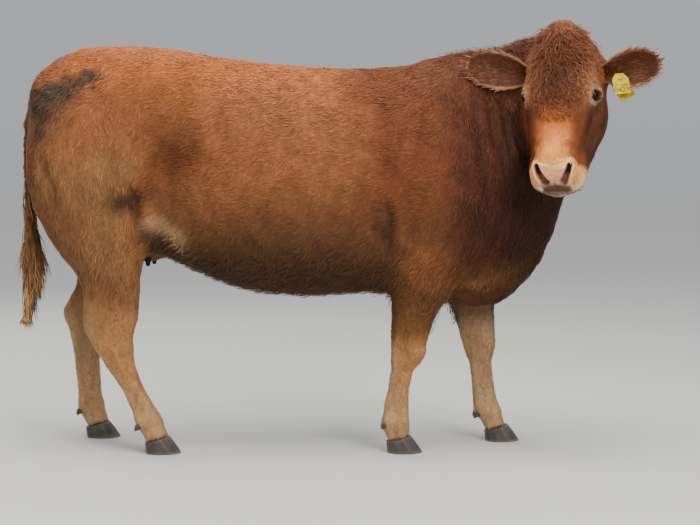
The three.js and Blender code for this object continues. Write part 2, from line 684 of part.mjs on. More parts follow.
const LOWER_CELL = [37, 32, 66];
LEGS.forEach((leg) => {
  const [footX, footY] = leg.foot;
  const joint = JOINT_HEIGHT[leg.name];
  const low = [Math.min(footX, leg.rows[0][1]) - 260, Math.min(footY, leg.rows[0][2]) - 190, -60];
  const high = [Math.max(footX, leg.rows[0][1]) + 260, Math.max(footY, leg.rows[0][2]) + 190, 1080];
  const upperNet = netted(FLESH, [low[0], low[1], joint - 130], high, leg.fore ? [52, 48, 68] : [60, 56, 74]);
  const lowerLow = [low[0], footY - 5.5 * LOWER_CELL[1], low[2]];
  const lowerHigh = [high[0], footY + 5.5 * LOWER_CELL[1], joint + 110];
  const lowerNet = netted(FLESH, lowerLow, lowerHigh, LOWER_CELL);
  const upper = upperNet.intersect(leg.region).trimByPlane([0, 0, 1], joint + CUT_GAP / 2);
  const coronet = cutThrough([footX - HOOF_HEEL - 4, footY, CORONET_HEEL],
    [footX + 40, footY, CORONET_HEEL + (HOOF_HEEL + 44) * CORONET_RISE],
    [footX, footY + 50, CORONET_HEEL + (HOOF_HEEL + 4) * CORONET_RISE], [footX, footY, 900]);
  let lower = lowerNet.intersect(leg.region).trimByPlane([0, 0, -1], CUT_GAP / 2 - joint);
  lower = kept(lower, coronet, CUT_GAP);
  const [fetlockX, fetlockZ] = leg.fetlock;
  for (const side of sides) {
    const outer = Math.sign(footY) === side;
    const where = outer ? 'outer' : 'inner';
    add(`${leg.name}_claw_${where}`, claw(side).translate([footX, footY, 0]), HORN_GREY, 0.55);
    const spur = dewclaw(side).translate([fetlockX - 41, footY, fetlockZ - 12]);
    lower = lower.subtract(swollen(spur, SOCKET_GAP));
    add(`${leg.name}_dewclaw_${where}`, spur, HORN_GREY, 0.55);
  }
  add(`${leg.name}_upper`, largest(upper), COAT);
  add(`${leg.name}_lower`, largest(lower), COAT_LIGHT);
});

// ---------------------------------------------------------------- eyes, nostrils, ears

for (const side of sides) {
  const name = side < 0 ? 'right' : 'left';
  const [x, y, z] = EYE_PLACE;
  const ball = solidOf(new THREE.SphereGeometry(EYE_RADIUS, 10, 8))
    .translate([x, side * y, z]).transform(HEAD_FRAME.elements);
  const opening = solidOf(new THREE.SphereGeometry(1, 12, 8)).scale([23, 20, 17])
    .translate([x + 1, side * (y + 19), z + 13]).transform(HEAD_FRAME.elements);
  head = head.subtract(opening).subtract(swollen(ball, SOCKET_GAP));
  add(`eye_${name}`, ball, EYE_DARK, 0.15);

  const [nx, ny, nz] = NOSTRIL_PLACE;
  const nostril = solidOf(new THREE.SphereGeometry(1, 10, 8)).scale([24, 9, 17])
    .rotate([side * 30, 35, 0]).translate([nx, side * ny, nz]).transform(HEAD_FRAME.elements);
  muzzle = muzzle.subtract(nostril);
}

// An ear is a cupped leaf: half its width at places from root to tip, and how deep it cups.
function ear(side) {
  const [ahead, aside, above] = EAR_LEAN[side < 0 ? 'right' : 'left'];
  const lean = new THREE.Vector3(ahead, side * aside, above).normalize();
  const face = new THREE.Vector3(0.42, 0, 0.9).addScaledVector(lean, -0.9 * lean.z).normalize();
  const wide = new THREE.Vector3().crossVectors(face, lean).multiplyScalar(side).normalize();
  const outline = eased([
    [0, 30, 3], [0.12, 37, 8], [0.26, 50, 17], [0.44, 61, 24], [0.6, 64, 24],
    [0.76, 58, 18], [0.88, 45, 10], [0.96, 25, 4], [1, 7, 1],
  ]);
  const across = 6;
  const rings = [0, 0.14, 0.3, 0.48, 0.66, 0.82, 0.94, 1].map((t) => {
    const [half, cup] = outline(t);
    const thick = t < 0.2 ? EAR_THICKNESS * (3.4 - 12 * t) : EAR_THICKNESS * (1.1 - 0.5 * t);
    const front = [], rear = [];
    for (let i = 0; i < across; i++) {
      const u = i / (across - 1) * 2 - 1;
      const edge = Math.sqrt(Math.max(0, 1 - u * u));
      const hollow = cup * u * u - cup * 0.55;
      const middle = new THREE.Vector3(EAR_ROOT[0], side * EAR_ROOT[1], EAR_ROOT[2])
        .addScaledVector(lean, t * EAR_LENGTH).addScaledVector(wide, u * half);
      const skin = thick * (0.25 + 0.75 * edge) / 2;
      front.push(middle.clone().addScaledVector(face, hollow + skin).toArray());
      rear.push(middle.clone().addScaledVector(face, hollow - skin).toArray());
    }
    return [...front, ...rear.reverse()];
  });
  return loft(rings).transform(HEAD_FRAME.elements);
}

const ears = Object.fromEntries(sides.map((side) => [side, ear(side)]));
for (const side of sides) {
  const room = swollen(ears[side], 2 * SOCKET_GAP);
  head = head.subtract(room);
  neck = neck.subtract(room);
}

// The ear tag: a flag either side of the left ear, joined by a stud through it.
const tagFrame = HEAD_FRAME.clone()
  .multiply(new THREE.Matrix4().makeTranslation(130, 190, 0))
  .multiply(new THREE.Matrix4().makeRotationZ(16 * DEGREE))
  .multiply(new THREE.Matrix4().makeRotationX(-20 * DEGREE));

function flag(turn, level) {
  const half = TAG_WIDTH / 2, shape = new THREE.Shape();
  shape.moveTo(-16, -14);
  shape.lineTo(-16, 14);
  shape.lineTo(6, half);
  shape.lineTo(TAG_HEIGHT - 18, half);
  shape.lineTo(TAG_HEIGHT - 14, half - 4);
  shape.lineTo(TAG_HEIGHT - 14, 4 - half);
  shape.lineTo(TAG_HEIGHT - 18, -half);
  shape.lineTo(6, -half);
  shape.closePath();
  const plate = new THREE.ExtrudeGeometry(shape, { depth: 1.6, bevelEnabled: false });
  return solidOf(plate).rotate([0, 0, turn]).translate([0, 0, level]);
}
const stud = (radius, low, high) => solidOf(new THREE.CylinderGeometry(radius, radius, high - low, 10))
  .rotate([90, 0, 0]).translate([0, 0, (low + high) / 2]);

const tagFront = flag(0, TAG_AHEAD)
  .add(stud(3, -TAG_BEHIND - 3, TAG_AHEAD + 1))
  .add(stud(9, TAG_AHEAD + 0.8, TAG_AHEAD + 4.5))
  .transform(tagFrame.elements);
const tagBack = flag(24, -TAG_BEHIND)
  .add(stud(10, -TAG_BEHIND - 4, -TAG_BEHIND + 1.6))
  .subtract(stud(3.6, -60, 60))
  .transform(tagFrame.elements);
ears[1] = ears[1].subtract(stud(4, -40, 40).transform(tagFrame.elements))
  .subtract(swollen(tagBack, CUT_GAP));

// ---------------------------------------------------------------- tail and udder

// Tail rows: a point of its middle line, and its reach ahead and aside. The switch of long
// hair starts at the ninth row.
const TAIL_ROWS = [
  [-955, 0, 1392, 36, 44], [-1010, 0, 1388, 36, 42], [-1064, 0, 1357, 34, 40],
  [-1102, 0, 1305, 31, 37], [-1134, 0, 1225, 29, 33], [-1155, 0, 1105, 27, 29],
  [-1161, 4, 970, 25, 26], [-1155, 8, 860, 24, 25], [-1149, 9, 775, 27, 27],
  [-1144, 11, 700, 40, 36], [-1148, 11, 625, 37, 33], [-1158, 11, 556, 26, 25],
  [-1168, 10, 490, 16, 16], [-1175, 10, 438, 6, 6],
];
const DOCK_ROW = 5;
const SWITCH_ROW = 8;
const TAIL_SIDES = 8;

// A loft along a curve. A row holds a point of the curve and its reach ahead and aside.
function rope(rows, from, to, rings) {
  const curve = new THREE.CatmullRomCurve3(rows.map((r) => new THREE.Vector3(r[0], r[1], r[2])));
  const read = eased(rows.map((r, i) => [i, r[3], r[4]]));
  return loft(Array.from({ length: rings }, (_, ring) => {
    const t = from + (to - from) * ring / (rings - 1);
    const centre = curve.getPoint(t / (rows.length - 1));
    const ahead = curve.getTangent(t / (rows.length - 1));
    const side = new THREE.Vector3(0, 1, 0).addScaledVector(ahead, -ahead.y).normalize();
    const over = new THREE.Vector3().crossVectors(ahead, side);
    const [thick, wide] = read(t);
    return Array.from({ length: TAIL_SIDES }, (_, i) => {
      const a = (i + 0.5) / TAIL_SIDES * 2 * Math.PI;
      return centre.clone().addScaledVector(over, thick * Math.cos(a))
        .addScaledVector(side, wide * Math.sin(a)).toArray();
    });
  }));
}

const gapRows = 0.006;               // a clearance, in rows
const tailBase = rope(TAIL_ROWS, 0, DOCK_ROW - gapRows, 9);
const tailDock = rope(TAIL_ROWS, DOCK_ROW, SWITCH_ROW - gapRows, 5);
const tailSwitch = rope(TAIL_ROWS, SWITCH_ROW, TAIL_ROWS.length - 1, 9);

const UDDER = melted(26, mass([-770, 0, 735], [150, 105, 85]),
  ...[[-712, 58], [-800, 50]].flatMap(([x, y]) => sides.map((s) => column('z',
    [[720, x, s * y, 22, 22, 22, 2], [672, x + 3, s * y, 12, 12, 12, 2]], 12, 10))));
const udder = netted(UDDER, [-950, -150, 615], [-590, 152, 870], [44, 42, 38]);

for (const body of [tailBase, tailDock, udder]) {
  trunk = trunk.subtract(swollen(body, SOCKET_GAP));
}
nodes.filter((node) => /^hind_.*_upper$/.test(node.name)).forEach((node) => {
  for (const body of [tailDock, udder]) node.body = largest(node.body.subtract(swollen(body, SOCKET_GAP)));
});

add('trunk', largest(trunk), COAT);
add('neck', largest(neck), COAT_DARK);
add('head', largest(head), COAT);
add('muzzle', largest(muzzle), NOSE_PINK, 0.6);
add('lower_jaw', largest(lowerJaw), COAT_LIGHT);
add('ear_right', largest(ears[-1]), COAT_DARK);
add('ear_left', largest(ears[1]), COAT_DARK);
add('ear_tag_front', tagFront, TAG_YELLOW, 0.45);
add('ear_tag_back', tagBack, TAG_YELLOW, 0.45);
add('tail_base', largest(tailBase), COAT);
add('tail_dock', largest(tailDock), COAT);
add('tail_switch', largest(tailSwitch), COAT_LIGHT);
add('udder', largest(udder), NOSE_PINK);

// ---------------------------------------------------------------- the cow
// The origin is the middle of the standing cow's footprint box, on the ground.

const bounds = new THREE.Box3();
nodes.forEach(({ body }) => {
  const box = body.boundingBox();
  bounds.expandByPoint(new THREE.Vector3(...box.min)).expandByPoint(new THREE.Vector3(...box.max));
});
const middle = bounds.getCenter(new THREE.Vector3());

const cow = new THREE.Group();
nodes.forEach(({ name, body, colour, roughness }) => {
  const material = new THREE.MeshStandardMaterial({ color: colour, roughness, metalness: 0 });
  const resting = body.translate([-middle.x, -middle.y, -bounds.min.z])
    .asOriginal().simplify(FINEST_EDGE);
  const mesh = new THREE.Mesh(geometryOf(resting), material);
  mesh.name = name;
  cow.add(mesh);
});

export default cow;
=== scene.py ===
import math

import bpy
import numpy as np
from mathutils import Matrix, Vector
from mathutils.bvhtree import BVHTree


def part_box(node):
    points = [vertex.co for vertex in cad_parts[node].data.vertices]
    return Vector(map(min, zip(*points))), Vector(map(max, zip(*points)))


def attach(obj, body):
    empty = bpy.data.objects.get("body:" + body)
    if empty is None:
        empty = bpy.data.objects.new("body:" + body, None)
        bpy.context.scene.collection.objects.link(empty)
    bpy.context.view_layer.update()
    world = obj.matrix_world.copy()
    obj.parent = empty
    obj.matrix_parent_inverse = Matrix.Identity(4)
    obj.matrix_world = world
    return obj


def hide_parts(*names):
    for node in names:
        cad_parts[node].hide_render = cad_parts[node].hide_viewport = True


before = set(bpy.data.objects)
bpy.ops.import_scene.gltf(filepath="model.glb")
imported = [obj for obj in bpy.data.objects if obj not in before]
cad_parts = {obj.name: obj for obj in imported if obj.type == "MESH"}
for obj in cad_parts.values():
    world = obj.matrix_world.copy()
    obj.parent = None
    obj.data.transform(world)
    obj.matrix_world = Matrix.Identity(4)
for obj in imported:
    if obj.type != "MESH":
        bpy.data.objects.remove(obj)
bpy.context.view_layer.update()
bpy.ops.object.select_all(action="DESELECT")

# ------------------------------------------------------------------ where the cow stands
# The body is measured in metres from the ground under the middle of the belly: ahead, to its
# left, and up. The head is measured from its poll: along the face, to its left, and out of the
# forehead. Both follow from the two eyes, which the head carries.
EYE_PLACE = Vector((0.200, 0.113, 0.034))
POLL_AHEAD = Vector((0.754, -0.197, 1.413))
HEAD_TURN = (Matrix.Rotation(math.radians(-109), 3, "Z") @ Matrix.Rotation(math.radians(64), 3, "Y")
             @ Matrix.Rotation(math.radians(3.5), 3, "X"))
SIDES = {"right": -1, "left": 1}
eye_centre = {side: (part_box("eye_" + side)[0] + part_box("eye_" + side)[1]) / 2 for side in SIDES}
between_eyes = (eye_centre["right"] + eye_centre["left"]) / 2
poll = between_eyes - HEAD_TURN @ Vector((EYE_PLACE.x, 0, EYE_PLACE.z))
belly = poll - POLL_AHEAD


def on_head(points):
    return (np.asarray(points) - np.array(poll)) @ np.array(HEAD_TURN)


def from_head(points):
    return np.asarray(points) @ np.array(HEAD_TURN).T + np.array(poll)


def on_body(points):
    return np.asarray(points) - np.array(belly)


# ------------------------------------------------------------------ camera, floor and light
# The camera stands level with the belly, six metres to the cow's right, and tips down a little.
# The floor is a plain pale sheet, and large soft lamps hang over it as a cloudy sky does.
CAMERA_AWAY = 6.0
CAMERA_HEIGHT = 1.060
LENS_PIXELS, IMAGE_WIDTH, SENSOR = 1668, 700, 36
LOOKS_DOWN = math.atan(110.5 / LENS_PIXELS)
camera_place = belly + Vector((0, -CAMERA_AWAY, CAMERA_HEIGHT))
bpy.ops.object.camera_add(location=camera_place, rotation=(math.pi / 2 - LOOKS_DOWN, 0, 0))
camera = bpy.context.object
camera.data.lens = SENSOR * LENS_PIXELS / IMAGE_WIDTH
camera.data.sensor_width = SENSOR
bpy.context.scene.camera = camera

bpy.ops.mesh.primitive_plane_add(size=60)
floor = bpy.context.object
floor.name = "floor"
floor_paint = bpy.data.materials.new("pale floor")
floor_paint.use_nodes = True
floor_paint.node_tree.nodes["Principled BSDF"].inputs["Base Color"].default_value = (0.62, 0.61, 0.58, 1)
floor_paint.node_tree.nodes["Principled BSDF"].inputs["Roughness"].default_value = 0.9
floor.data.materials.append(floor_paint)


def lamp(place, size, power, aim, colour):
    bpy.ops.object.light_add(type="AREA", location=place)
    light = bpy.context.object
    light.data.shape = "DISK"
    light.data.size = size
    light.data.energy = power
    light.data.color = colour
    light.rotation_euler = (Vector(aim) - Vector(place)).to_track_quat("-Z", "Y").to_euler()


lamp((-0.6, -0.9, 5.2), 4.5, 270, (0, 0, 0.8), (1.0, 0.98, 0.95))
lamp((2.6, -4.8, 3.6), 3.0, 250, (0.5, -0.1, 1.0), (1.0, 0.98, 0.96))
lamp((-3.0, 4.0, 3.6), 3.0, 80, (0, 0, 0.9), (0.95, 0.97, 1.0))

# A cloudy sky is half as bright at its edge as overhead.
sky = bpy.data.worlds.new("soft sky")
sky.use_nodes = True
sky_light = sky.node_tree.nodes["Background"]
sky_way = sky.node_tree.nodes.new("ShaderNodeTexCoord")
sky_parts = sky.node_tree.nodes.new("ShaderNodeSeparateXYZ")
sky_level = sky.node_tree.nodes.new("ShaderNodeMapRange")
sky_level.inputs["To Min"].default_value = 0.46
sky_level.inputs["To Max"].default_value = 0.85
sky.node_tree.links.new(sky_way.outputs["Generated"], sky_parts.inputs["Vector"])
sky.node_tree.links.new(sky_parts.outputs["Z"], sky_level.inputs["Value"])
sky.node_tree.links.new(sky_level.outputs["Result"], sky_light.inputs["Strength"])
sky_light.inputs["Color"].default_value = (0.93, 0.96, 1.0, 1)
bpy.context.scene.world = sky

# ------------------------------------------------------------------ skin
# One hide covers trunk, neck, head, legs and tail. It is taken from the solids of flesh, closed
# over their cuts, evened, drawn in by the depth of the coat, and then folded and creased.
LEGS = ("fore_right", "fore_left", "hind_right", "hind_left")
FLESH = ["trunk", "neck", "head", "muzzle", "lower_jaw", "tail_base", "tail_dock", "tail_switch", "udder"]
FLESH += [f"{leg}_{part}" for leg in LEGS for part in ("upper", "lower")]
SKIN_CELL = 0.0058


def alone(piece):
    bpy.ops.object.select_all(action="DESELECT")
    piece.select_set(True)
    bpy.context.view_layer.objects.active = piece


def joined(name, pieces):
    bpy.ops.object.select_all(action="DESELECT")
    for piece in pieces:
        piece.select_set(True)
    bpy.context.view_layer.objects.active = pieces[0]
    bpy.ops.object.join()
    whole = bpy.context.object
    whole.name = name
    return whole


def copy_of(node, name):
    piece = bpy.data.objects.new(name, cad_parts[node].data.copy())
    bpy.context.scene.collection.objects.link(piece)
    piece.data.materials.clear()
    alone(piece)
    bpy.ops.object.mode_set(mode="EDIT")
    bpy.ops.mesh.select_all(action="SELECT")
    bpy.ops.mesh.remove_doubles(threshold=0.00002)
    bpy.ops.object.mode_set(mode="OBJECT")
    return piece


def finished_with(piece, kind, **settings):
    alone(piece)
    modifier = piece.modifiers.new(kind.lower(), kind)
    for setting, value in settings.items():
        setattr(modifier, setting, value)
    bpy.ops.object.modifier_apply(modifier=modifier.name)


def places(mesh):
    out = np.empty(len(mesh.vertices) * 3)
    mesh.vertices.foreach_get("co", out)
    return out.reshape(-1, 3)


def normals(mesh):
    out = np.empty(len(mesh.vertices) * 3)
    mesh.vertex_normals.foreach_get("vector", out)
    return out.reshape(-1, 3)


def put(mesh, points):
    mesh.vertices.foreach_set("co", np.asarray(points, np.float32).ravel())
    mesh.update()


def rising(value, low, high):
    share = np.clip((value - low) / (high - low), 0, 1)
    return share * share * (3 - 2 * share)


def blob(points, centre, radii):
    return np.exp(-(((points - np.array(centre)) / np.array(radii)) ** 2).sum(1))


def evened(mesh, strength, rounds):
    points = places(mesh)
    count = len(points)
    ends = np.empty(len(mesh.edges) * 2, np.int32)
    mesh.edges.foreach_get("vertices", ends)
    a, b = ends.reshape(-1, 2).T
    degree = np.bincount(a, minlength=count) + np.bincount(b, minlength=count)
    share = (strength / np.maximum(degree, 1))[:, None]
    for _ in range(rounds):
        total = np.stack([np.bincount(a, points[b, k], count) + np.bincount(b, points[a, k], count)
                          for k in range(3)], 1)
        points += share * (total - degree[:, None] * points)
    put(mesh, points)


skin = joined("skin", [copy_of(node, "skin_" + node) for node in FLESH])
finished_with(skin, "REMESH", mode="VOXEL", voxel_size=SKIN_CELL)
bpy.ops.object.shade_smooth()

body, head = on_body(places(skin.data)), on_head(places(skin.data))
is_head = rising(head[:, 0], -0.13, -0.02) * (1 - rising(np.abs(head[:, 1]), 0.17, 0.24)) \
    * rising(head[:, 2], -0.26, -0.18) * rising(body[:, 0], 0.45, 0.6)
is_leg = 1 - rising(body[:, 2], 0.52, 0.86)
is_tail = 1 - rising(body[:, 0] + 0.15 * rising(body[:, 2], 1.1, 1.3), -1.13, -1.09)
softness = 0.95 * (1 - 0.86 * np.maximum.reduce([is_head, is_leg, is_tail]))
evened(skin.data, softness, 70)

COAT_DEPTH, FACE_DEPTH, LEG_DEPTH = 0.0060, 0.0030, 0.0016
depth = COAT_DEPTH + (FACE_DEPTH - COAT_DEPTH) * is_head
depth += (LEG_DEPTH - depth) * np.maximum(is_leg, is_tail)
depth += 0.010 * blob(head, (-0.02, 0, 0.07), (0.09, 0.09, 0.08))
depth += 0.012 * is_tail * (1 - rising(body[:, 2], 0.66, 0.80))
put(skin.data, places(skin.data) - normals(skin.data) * depth[:, None])


def unit(vector):
    vector = np.asarray(vector, float)
    return vector / np.linalg.norm(vector)


def nearest_on(path, points):
    """How far each place is from a path, and how far along the path its nearest point lies."""
    best, along = np.full(len(points), 9.0), np.zeros(len(points))
    steps = len(path) - 1
    for number, (start, end) in enumerate(zip(path[:-1], path[1:])):
        start, end = np.array(start), np.array(end)
        run = end - start
        share = np.clip((points - start) @ run / (run @ run), 0, 1)
        away = np.linalg.norm(points - start - share[:, None] * run, axis=1)
        nearer = away < best
        best[nearer], along[nearer] = away[nearer], (number + share[nearer]) / steps
    return best, along


def fold(path, points, width):
    """A crease along a path, with a low roll of skin each side, dying away at both ends."""
    away, along = nearest_on(path, points)
    deep = np.exp(-(away / width) ** 2) - 0.40 * np.exp(-((away - 2.2 * width) / (1.2 * width)) ** 2)
    return deep * np.sin(math.pi * np.clip(along, 0.02, 0.98)) ** 0.8


# Folds seen from the side, as lines of places ahead and up, with their width and depth.
RIGHT_FOLDS = [
    ([(0.470, 1.30), (0.490, 1.18), (0.515, 1.04), (0.550, 0.88)], 0.014, 0.007),
    ([(0.510, 1.28), (0.540, 1.16), (0.565, 1.02), (0.600, 0.86)], 0.012, 0.008),
    ([(0.555, 1.22), (0.578, 1.12), (0.600, 1.00), (0.625, 0.88)], 0.010, 0.007),
    ([(0.420, 1.26), (0.440, 1.12), (0.470, 0.95), (0.500, 0.82)], 0.022, 0.004),
]
BOTH_FOLDS = [
    ([(0.125, 0.90), (0.140, 0.83), (0.138, 0.77), (0.130, 0.70)], 0.015, 0.011),
    ([(-0.760, 0.95), (-0.738, 0.89), (-0.728, 0.81), (-0.722, 0.73)], 0.017, 0.012),
    ([(-1.062, 1.06), (-1.048, 1.00), (-1.022, 0.94), (-0.998, 0.86)], 0.015, 0.007),
    ([(0.345, 0.585), (0.43, 0.555), (0.52, 0.565), (0.58, 0.62)], 0.013, 0.008),
    ([(0.060, 1.30), (0.070, 1.16), (0.090, 1.02), (0.120, 0.90)], 0.035, 0.006),
    ([(0.30, 1.05), (0.33, 0.93), (0.35, 0.82), (0.345, 0.70)], 0.040, 0.005),
]
body = on_body(places(skin.data))
skin_normals = normals(skin.data)
level = body[:, [0, 2]]
sideways = rising(np.abs(skin_normals[:, 1]), 0.15, 0.5)
drawn_in = np.zeros(len(body))
for path, width, deep in RIGHT_FOLDS:
    drawn_in += deep * fold(path, level, width) * sideways * (body[:, 1] < -0.02)
for path, width, deep in BOTH_FOLDS:
    drawn_in += deep * fold(path, level, width) * sideways
drawn_in += 0.012 * blob(level, (-0.745, 0.905), (0.055, 0.035)) * sideways
drawn_in += 0.008 * blob(level, (-0.60, 1.14), (0.07, 0.09)) * sideways
drawn_in -= 0.006 * blob(level, (-0.80, 1.27), (0.06, 0.05)) * sideways
along_spine = np.exp(-(body[:, 1] / 0.03) ** 2) * rising(body[:, 2], 1.28, 1.33) * (1 - is_head)
drawn_in += 0.004 * along_spine * rising(-body[:, 0], 0.2, 0.5)
cleft = np.exp(-(body[:, 1] / 0.02) ** 2) * (1 - rising(body[:, 2], 1.12, 1.2)) \
    * rising(-body[:, 0], 0.9, 1.0)
drawn_in += 0.02 * cleft * rising(body[:, 2], 0.7, 0.8)
ribs = np.sin((body[:, 0] - 0.25 * body[:, 2]) * 2 * math.pi / 0.075)
drawn_in += 0.0011 * ribs * sideways * rising(body[:, 0], -0.5, -0.3) * (1 - rising(body[:, 0], 0.0, 0.15)) \
    * rising(body[:, 2], 0.75, 0.85) * (1 - rising(body[:, 2], 1.1, 1.25))

# Below knee and hock a groove on each side parts the shank bone from the sinews behind it, the
# knee is squared off, the fetlock swells, and the hide stands out round each dewclaw.
# Its values: foot and top of the groove, middle of the knee or hock, and middle of the fetlock's swelling.
SHANK = {"fore": (0.125, 0.300, 0.355, 0.075), "hind": (0.140, 0.400, 0.470, 0.085)}
SLICES = 60
standing = places(skin.data)
for leg in LEGS:
    low, high, joint, fetlock = SHANK[leg[:4]]
    box_low, box_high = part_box(leg + "_lower")
    near_leg = standing[:, 2] < box_high[2]
    near_leg &= (standing[:, 0] > box_low[0] - 0.02) & (standing[:, 0] < box_high[0] + 0.02)
    near_leg &= (standing[:, 1] > box_low[1] - 0.01) & (standing[:, 1] < box_high[1] + 0.01)
    shank = standing[near_leg]
    slice_of = np.clip((shank[:, 2] / box_high[2] * SLICES).astype(int), 0, SLICES - 1)
    many = np.maximum(np.bincount(slice_of, minlength=SLICES), 1)
    middle_x = (np.bincount(slice_of, shank[:, 0], SLICES) / many)[slice_of]
    spread_x = np.sqrt(np.bincount(slice_of, (shank[:, 0] - middle_x) ** 2, SLICES) / many)[slice_of]
    ahead = (shank[:, 0] - middle_x) / np.maximum(spread_x, 0.005)
    side_on = rising(np.abs(skin_normals[near_leg, 1]), 0.3, 0.8)
    tall = rising(shank[:, 2], low, low + 0.05) * (1 - rising(shank[:, 2], high - 0.04, high + 0.02))
    groove = 0.0042 * np.exp(-((ahead + 0.35) / 0.35) ** 2) * side_on * tall
    knee = 0.0035 * np.exp(-((shank[:, 2] - joint) / 0.030) ** 2) * (ahead > 0.4)
    under_knee = 0.0030 * np.exp(-((shank[:, 2] - joint + 0.065) / 0.020) ** 2)
    swell = 0.0040 * np.exp(-((shank[:, 2] - fetlock - 0.035) / 0.022) ** 2)
    change = groove + under_knee - knee - swell
    for place in ("inner", "outer"):
        claw_low, claw_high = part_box(f"{leg}_dewclaw_{place}")
        away = np.linalg.norm(shank - np.array((claw_low + claw_high) / 2), axis=1)
        change -= 0.0075 * np.exp(-(away / 0.026) ** 2)
    drawn_in[near_leg] += change
put(skin.data, places(skin.data) - skin_normals * drawn_in[:, None])

# ------------------------------------------------------------------ teats
# Four short teats hang from the udder. The hide is made finer there and then pulled down.
TEATS = [(-0.721, -0.058), (-0.712, 0.058), (-0.800, -0.050), (-0.800, 0.050)]
TEAT_HALF, TEAT_END, UDDER_TOP = 0.0115, 0.652, 0.76


def from_teat(points):
    """How far each place lies from the nearest teat's upright middle line."""
    body = on_body(points)
    return np.min([np.hypot(body[:, 0] - x, body[:, 1] - y) for x, y in TEATS], 0)


def select_faces(piece, wanted):
    alone(piece)
    piece.data.polygons.foreach_set("select", wanted)
    piece.data.vertices.foreach_set("select", np.zeros(len(piece.data.vertices), bool))
    piece.data.edges.foreach_set("select", np.zeros(len(piece.data.edges), bool))
    bpy.ops.object.mode_set(mode="EDIT")
    bpy.ops.mesh.select_mode(type="FACE")


for reach in (0.030, 0.018):
    face_place = np.array([face.center for face in skin.data.polygons])
    face_down = np.array([face.normal.z for face in skin.data.polygons])
    select_faces(skin, (from_teat(face_place) < reach) & (face_place[:, 2] < UDDER_TOP) & (face_down < -0.2))
    bpy.ops.mesh.subdivide(number_cuts=1, smoothness=0)
    bpy.ops.object.mode_set(mode="OBJECT")
hanging = places(skin.data)
pull = 1 - rising(from_teat(hanging), 0.5 * TEAT_HALF, 1.25 * TEAT_HALF)
under_udder = (hanging[:, 2] < UDDER_TOP) & (hanging[:, 2] > TEAT_END) & (normals(skin.data)[:, 2] < -0.1)
pull *= under_udder
hanging[:, 2] += 0.016 * under_udder * blob(on_body(hanging), (-0.77, 0, 0.66), (0.12, 0.11, 0.05))
hanging[:, 2] += pull * (TEAT_END + 0.4 * np.minimum(from_teat(hanging), 0.02) - hanging[:, 2])
put(skin.data, hanging)

# ------------------------------------------------------------------ face
# Bone and gristle show under the face: brows, cheekbones, the flat wet nose, comma nostrils and
# the line of the lips. Their part of the hide is made finer and then pressed into shape.
NOSE_MIDDLE = 0.004
NOSTRIL = [(0.472, 0.056, 0.047), (0.485, 0.051, 0.036), (0.498, 0.041, 0.021), (0.507, 0.030, 0.004)]
LIP_LINE = [(0.515, -0.053), (0.500, -0.066), (0.44, -0.083), (0.36, -0.092), (0.27, -0.096)]


centres = np.empty(len(skin.data.polygons) * 3)
skin.data.polygons.foreach_get("center", centres)
face_place = on_head(centres.reshape(-1, 3))
fine = (face_place[:, 0] > 0.40) & (np.abs(face_place[:, 1]) < 0.14) & (np.abs(face_place[:, 2]) < 0.2)
for sign in SIDES.values():
    eye_spot = np.array((EYE_PLACE.x, sign * EYE_PLACE.y, EYE_PLACE.z))
    fine |= np.linalg.norm(face_place - eye_spot, axis=1) < 0.06
select_faces(skin, fine)
bpy.ops.mesh.subdivide(number_cuts=1, smoothness=1)
bpy.ops.object.mode_set(mode="OBJECT")


NOSTRIL_INTO = unit((0.8, 0, 0.55))


def from_nostril(head):
    """How far each place of the head is from the nearer nostril's line, seen along its depth."""
    folded = head * (1, 0, 1) + np.abs(head[:, 1] - NOSE_MIDDLE)[:, None] * (0, 1, 0)
    line = np.array(NOSTRIL)
    line = line - np.outer(line @ NOSTRIL_INTO, NOSTRIL_INTO)
    return nearest_on(line, folded - np.outer(folded @ NOSTRIL_INTO, NOSTRIL_INTO))


centres = np.empty(len(skin.data.polygons) * 3)
skin.data.polygons.foreach_get("center", centres)
face_place = on_head(centres.reshape(-1, 3))
fine = (face_place[:, 0] > 0.43) & (from_nostril(face_place)[0] < 0.022)
fine |= (face_place[:, 0] > 0.36) & (np.abs(face_place[:, 1]) < 0.13) \
    & (nearest_on(LIP_LINE, face_place[:, [0, 2]])[0] < 0.010)
select_faces(skin, fine)
bpy.ops.mesh.subdivide(number_cuts=1, smoothness=0)
bpy.ops.object.mode_set(mode="OBJECT")

points = places(skin.data)
head = on_head(points)
face_out = normals(skin.data) @ np.array(HEAD_TURN)
shift = np.zeros_like(head)
across = np.abs(head[:, 1])
mirrored = head * (1, 0, 1) + across[:, None] * (0, 1, 0)
near_head = (head[:, 0] > -0.16) & (head[:, 0] < 0.56) & (across < 0.2) & (np.abs(head[:, 2]) < 0.25)


def pressed(centre, radii, amount):
    return (near_head * amount * blob(mirrored, centre, radii))[:, None] * face_out


shift += pressed((0.172, 0.125, 0.062), (0.034, 0.022, 0.020), 0.0060)
shift += pressed((0.236, 0.122, 0.030), (0.026, 0.025, 0.022), -0.0040)
shift += pressed((0.265, 0.098, 0.035), (0.050, 0.018, 0.020), -0.0030)
shift += pressed((0.300, 0.100, -0.030), (0.090, 0.030, 0.018), 0.0040)
shift += pressed((0.420, 0.066, 0.020), (0.020, 0.020, 0.022), -0.0040)
shift += pressed((0.468, 0.062, 0.030), (0.022, 0.018, 0.020), 0.0050)
shift += pressed((0.450, 0.090, 0.020), (0.040, 0.030, 0.035), -0.0090)
shift += pressed((0.490, 0.078, -0.050), (0.035, 0.030, 0.022), 0.0055)
shift += pressed((0.470, 0.098, -0.010), (0.035, 0.030, 0.045), -0.0060)
shift += pressed((-0.030, 0.090, 0.055), (0.060, 0.045, 0.060), -0.0260)
shift += pressed((-0.075, 0.02, 0.060), (0.045, 0.060, 0.070), -0.0080)
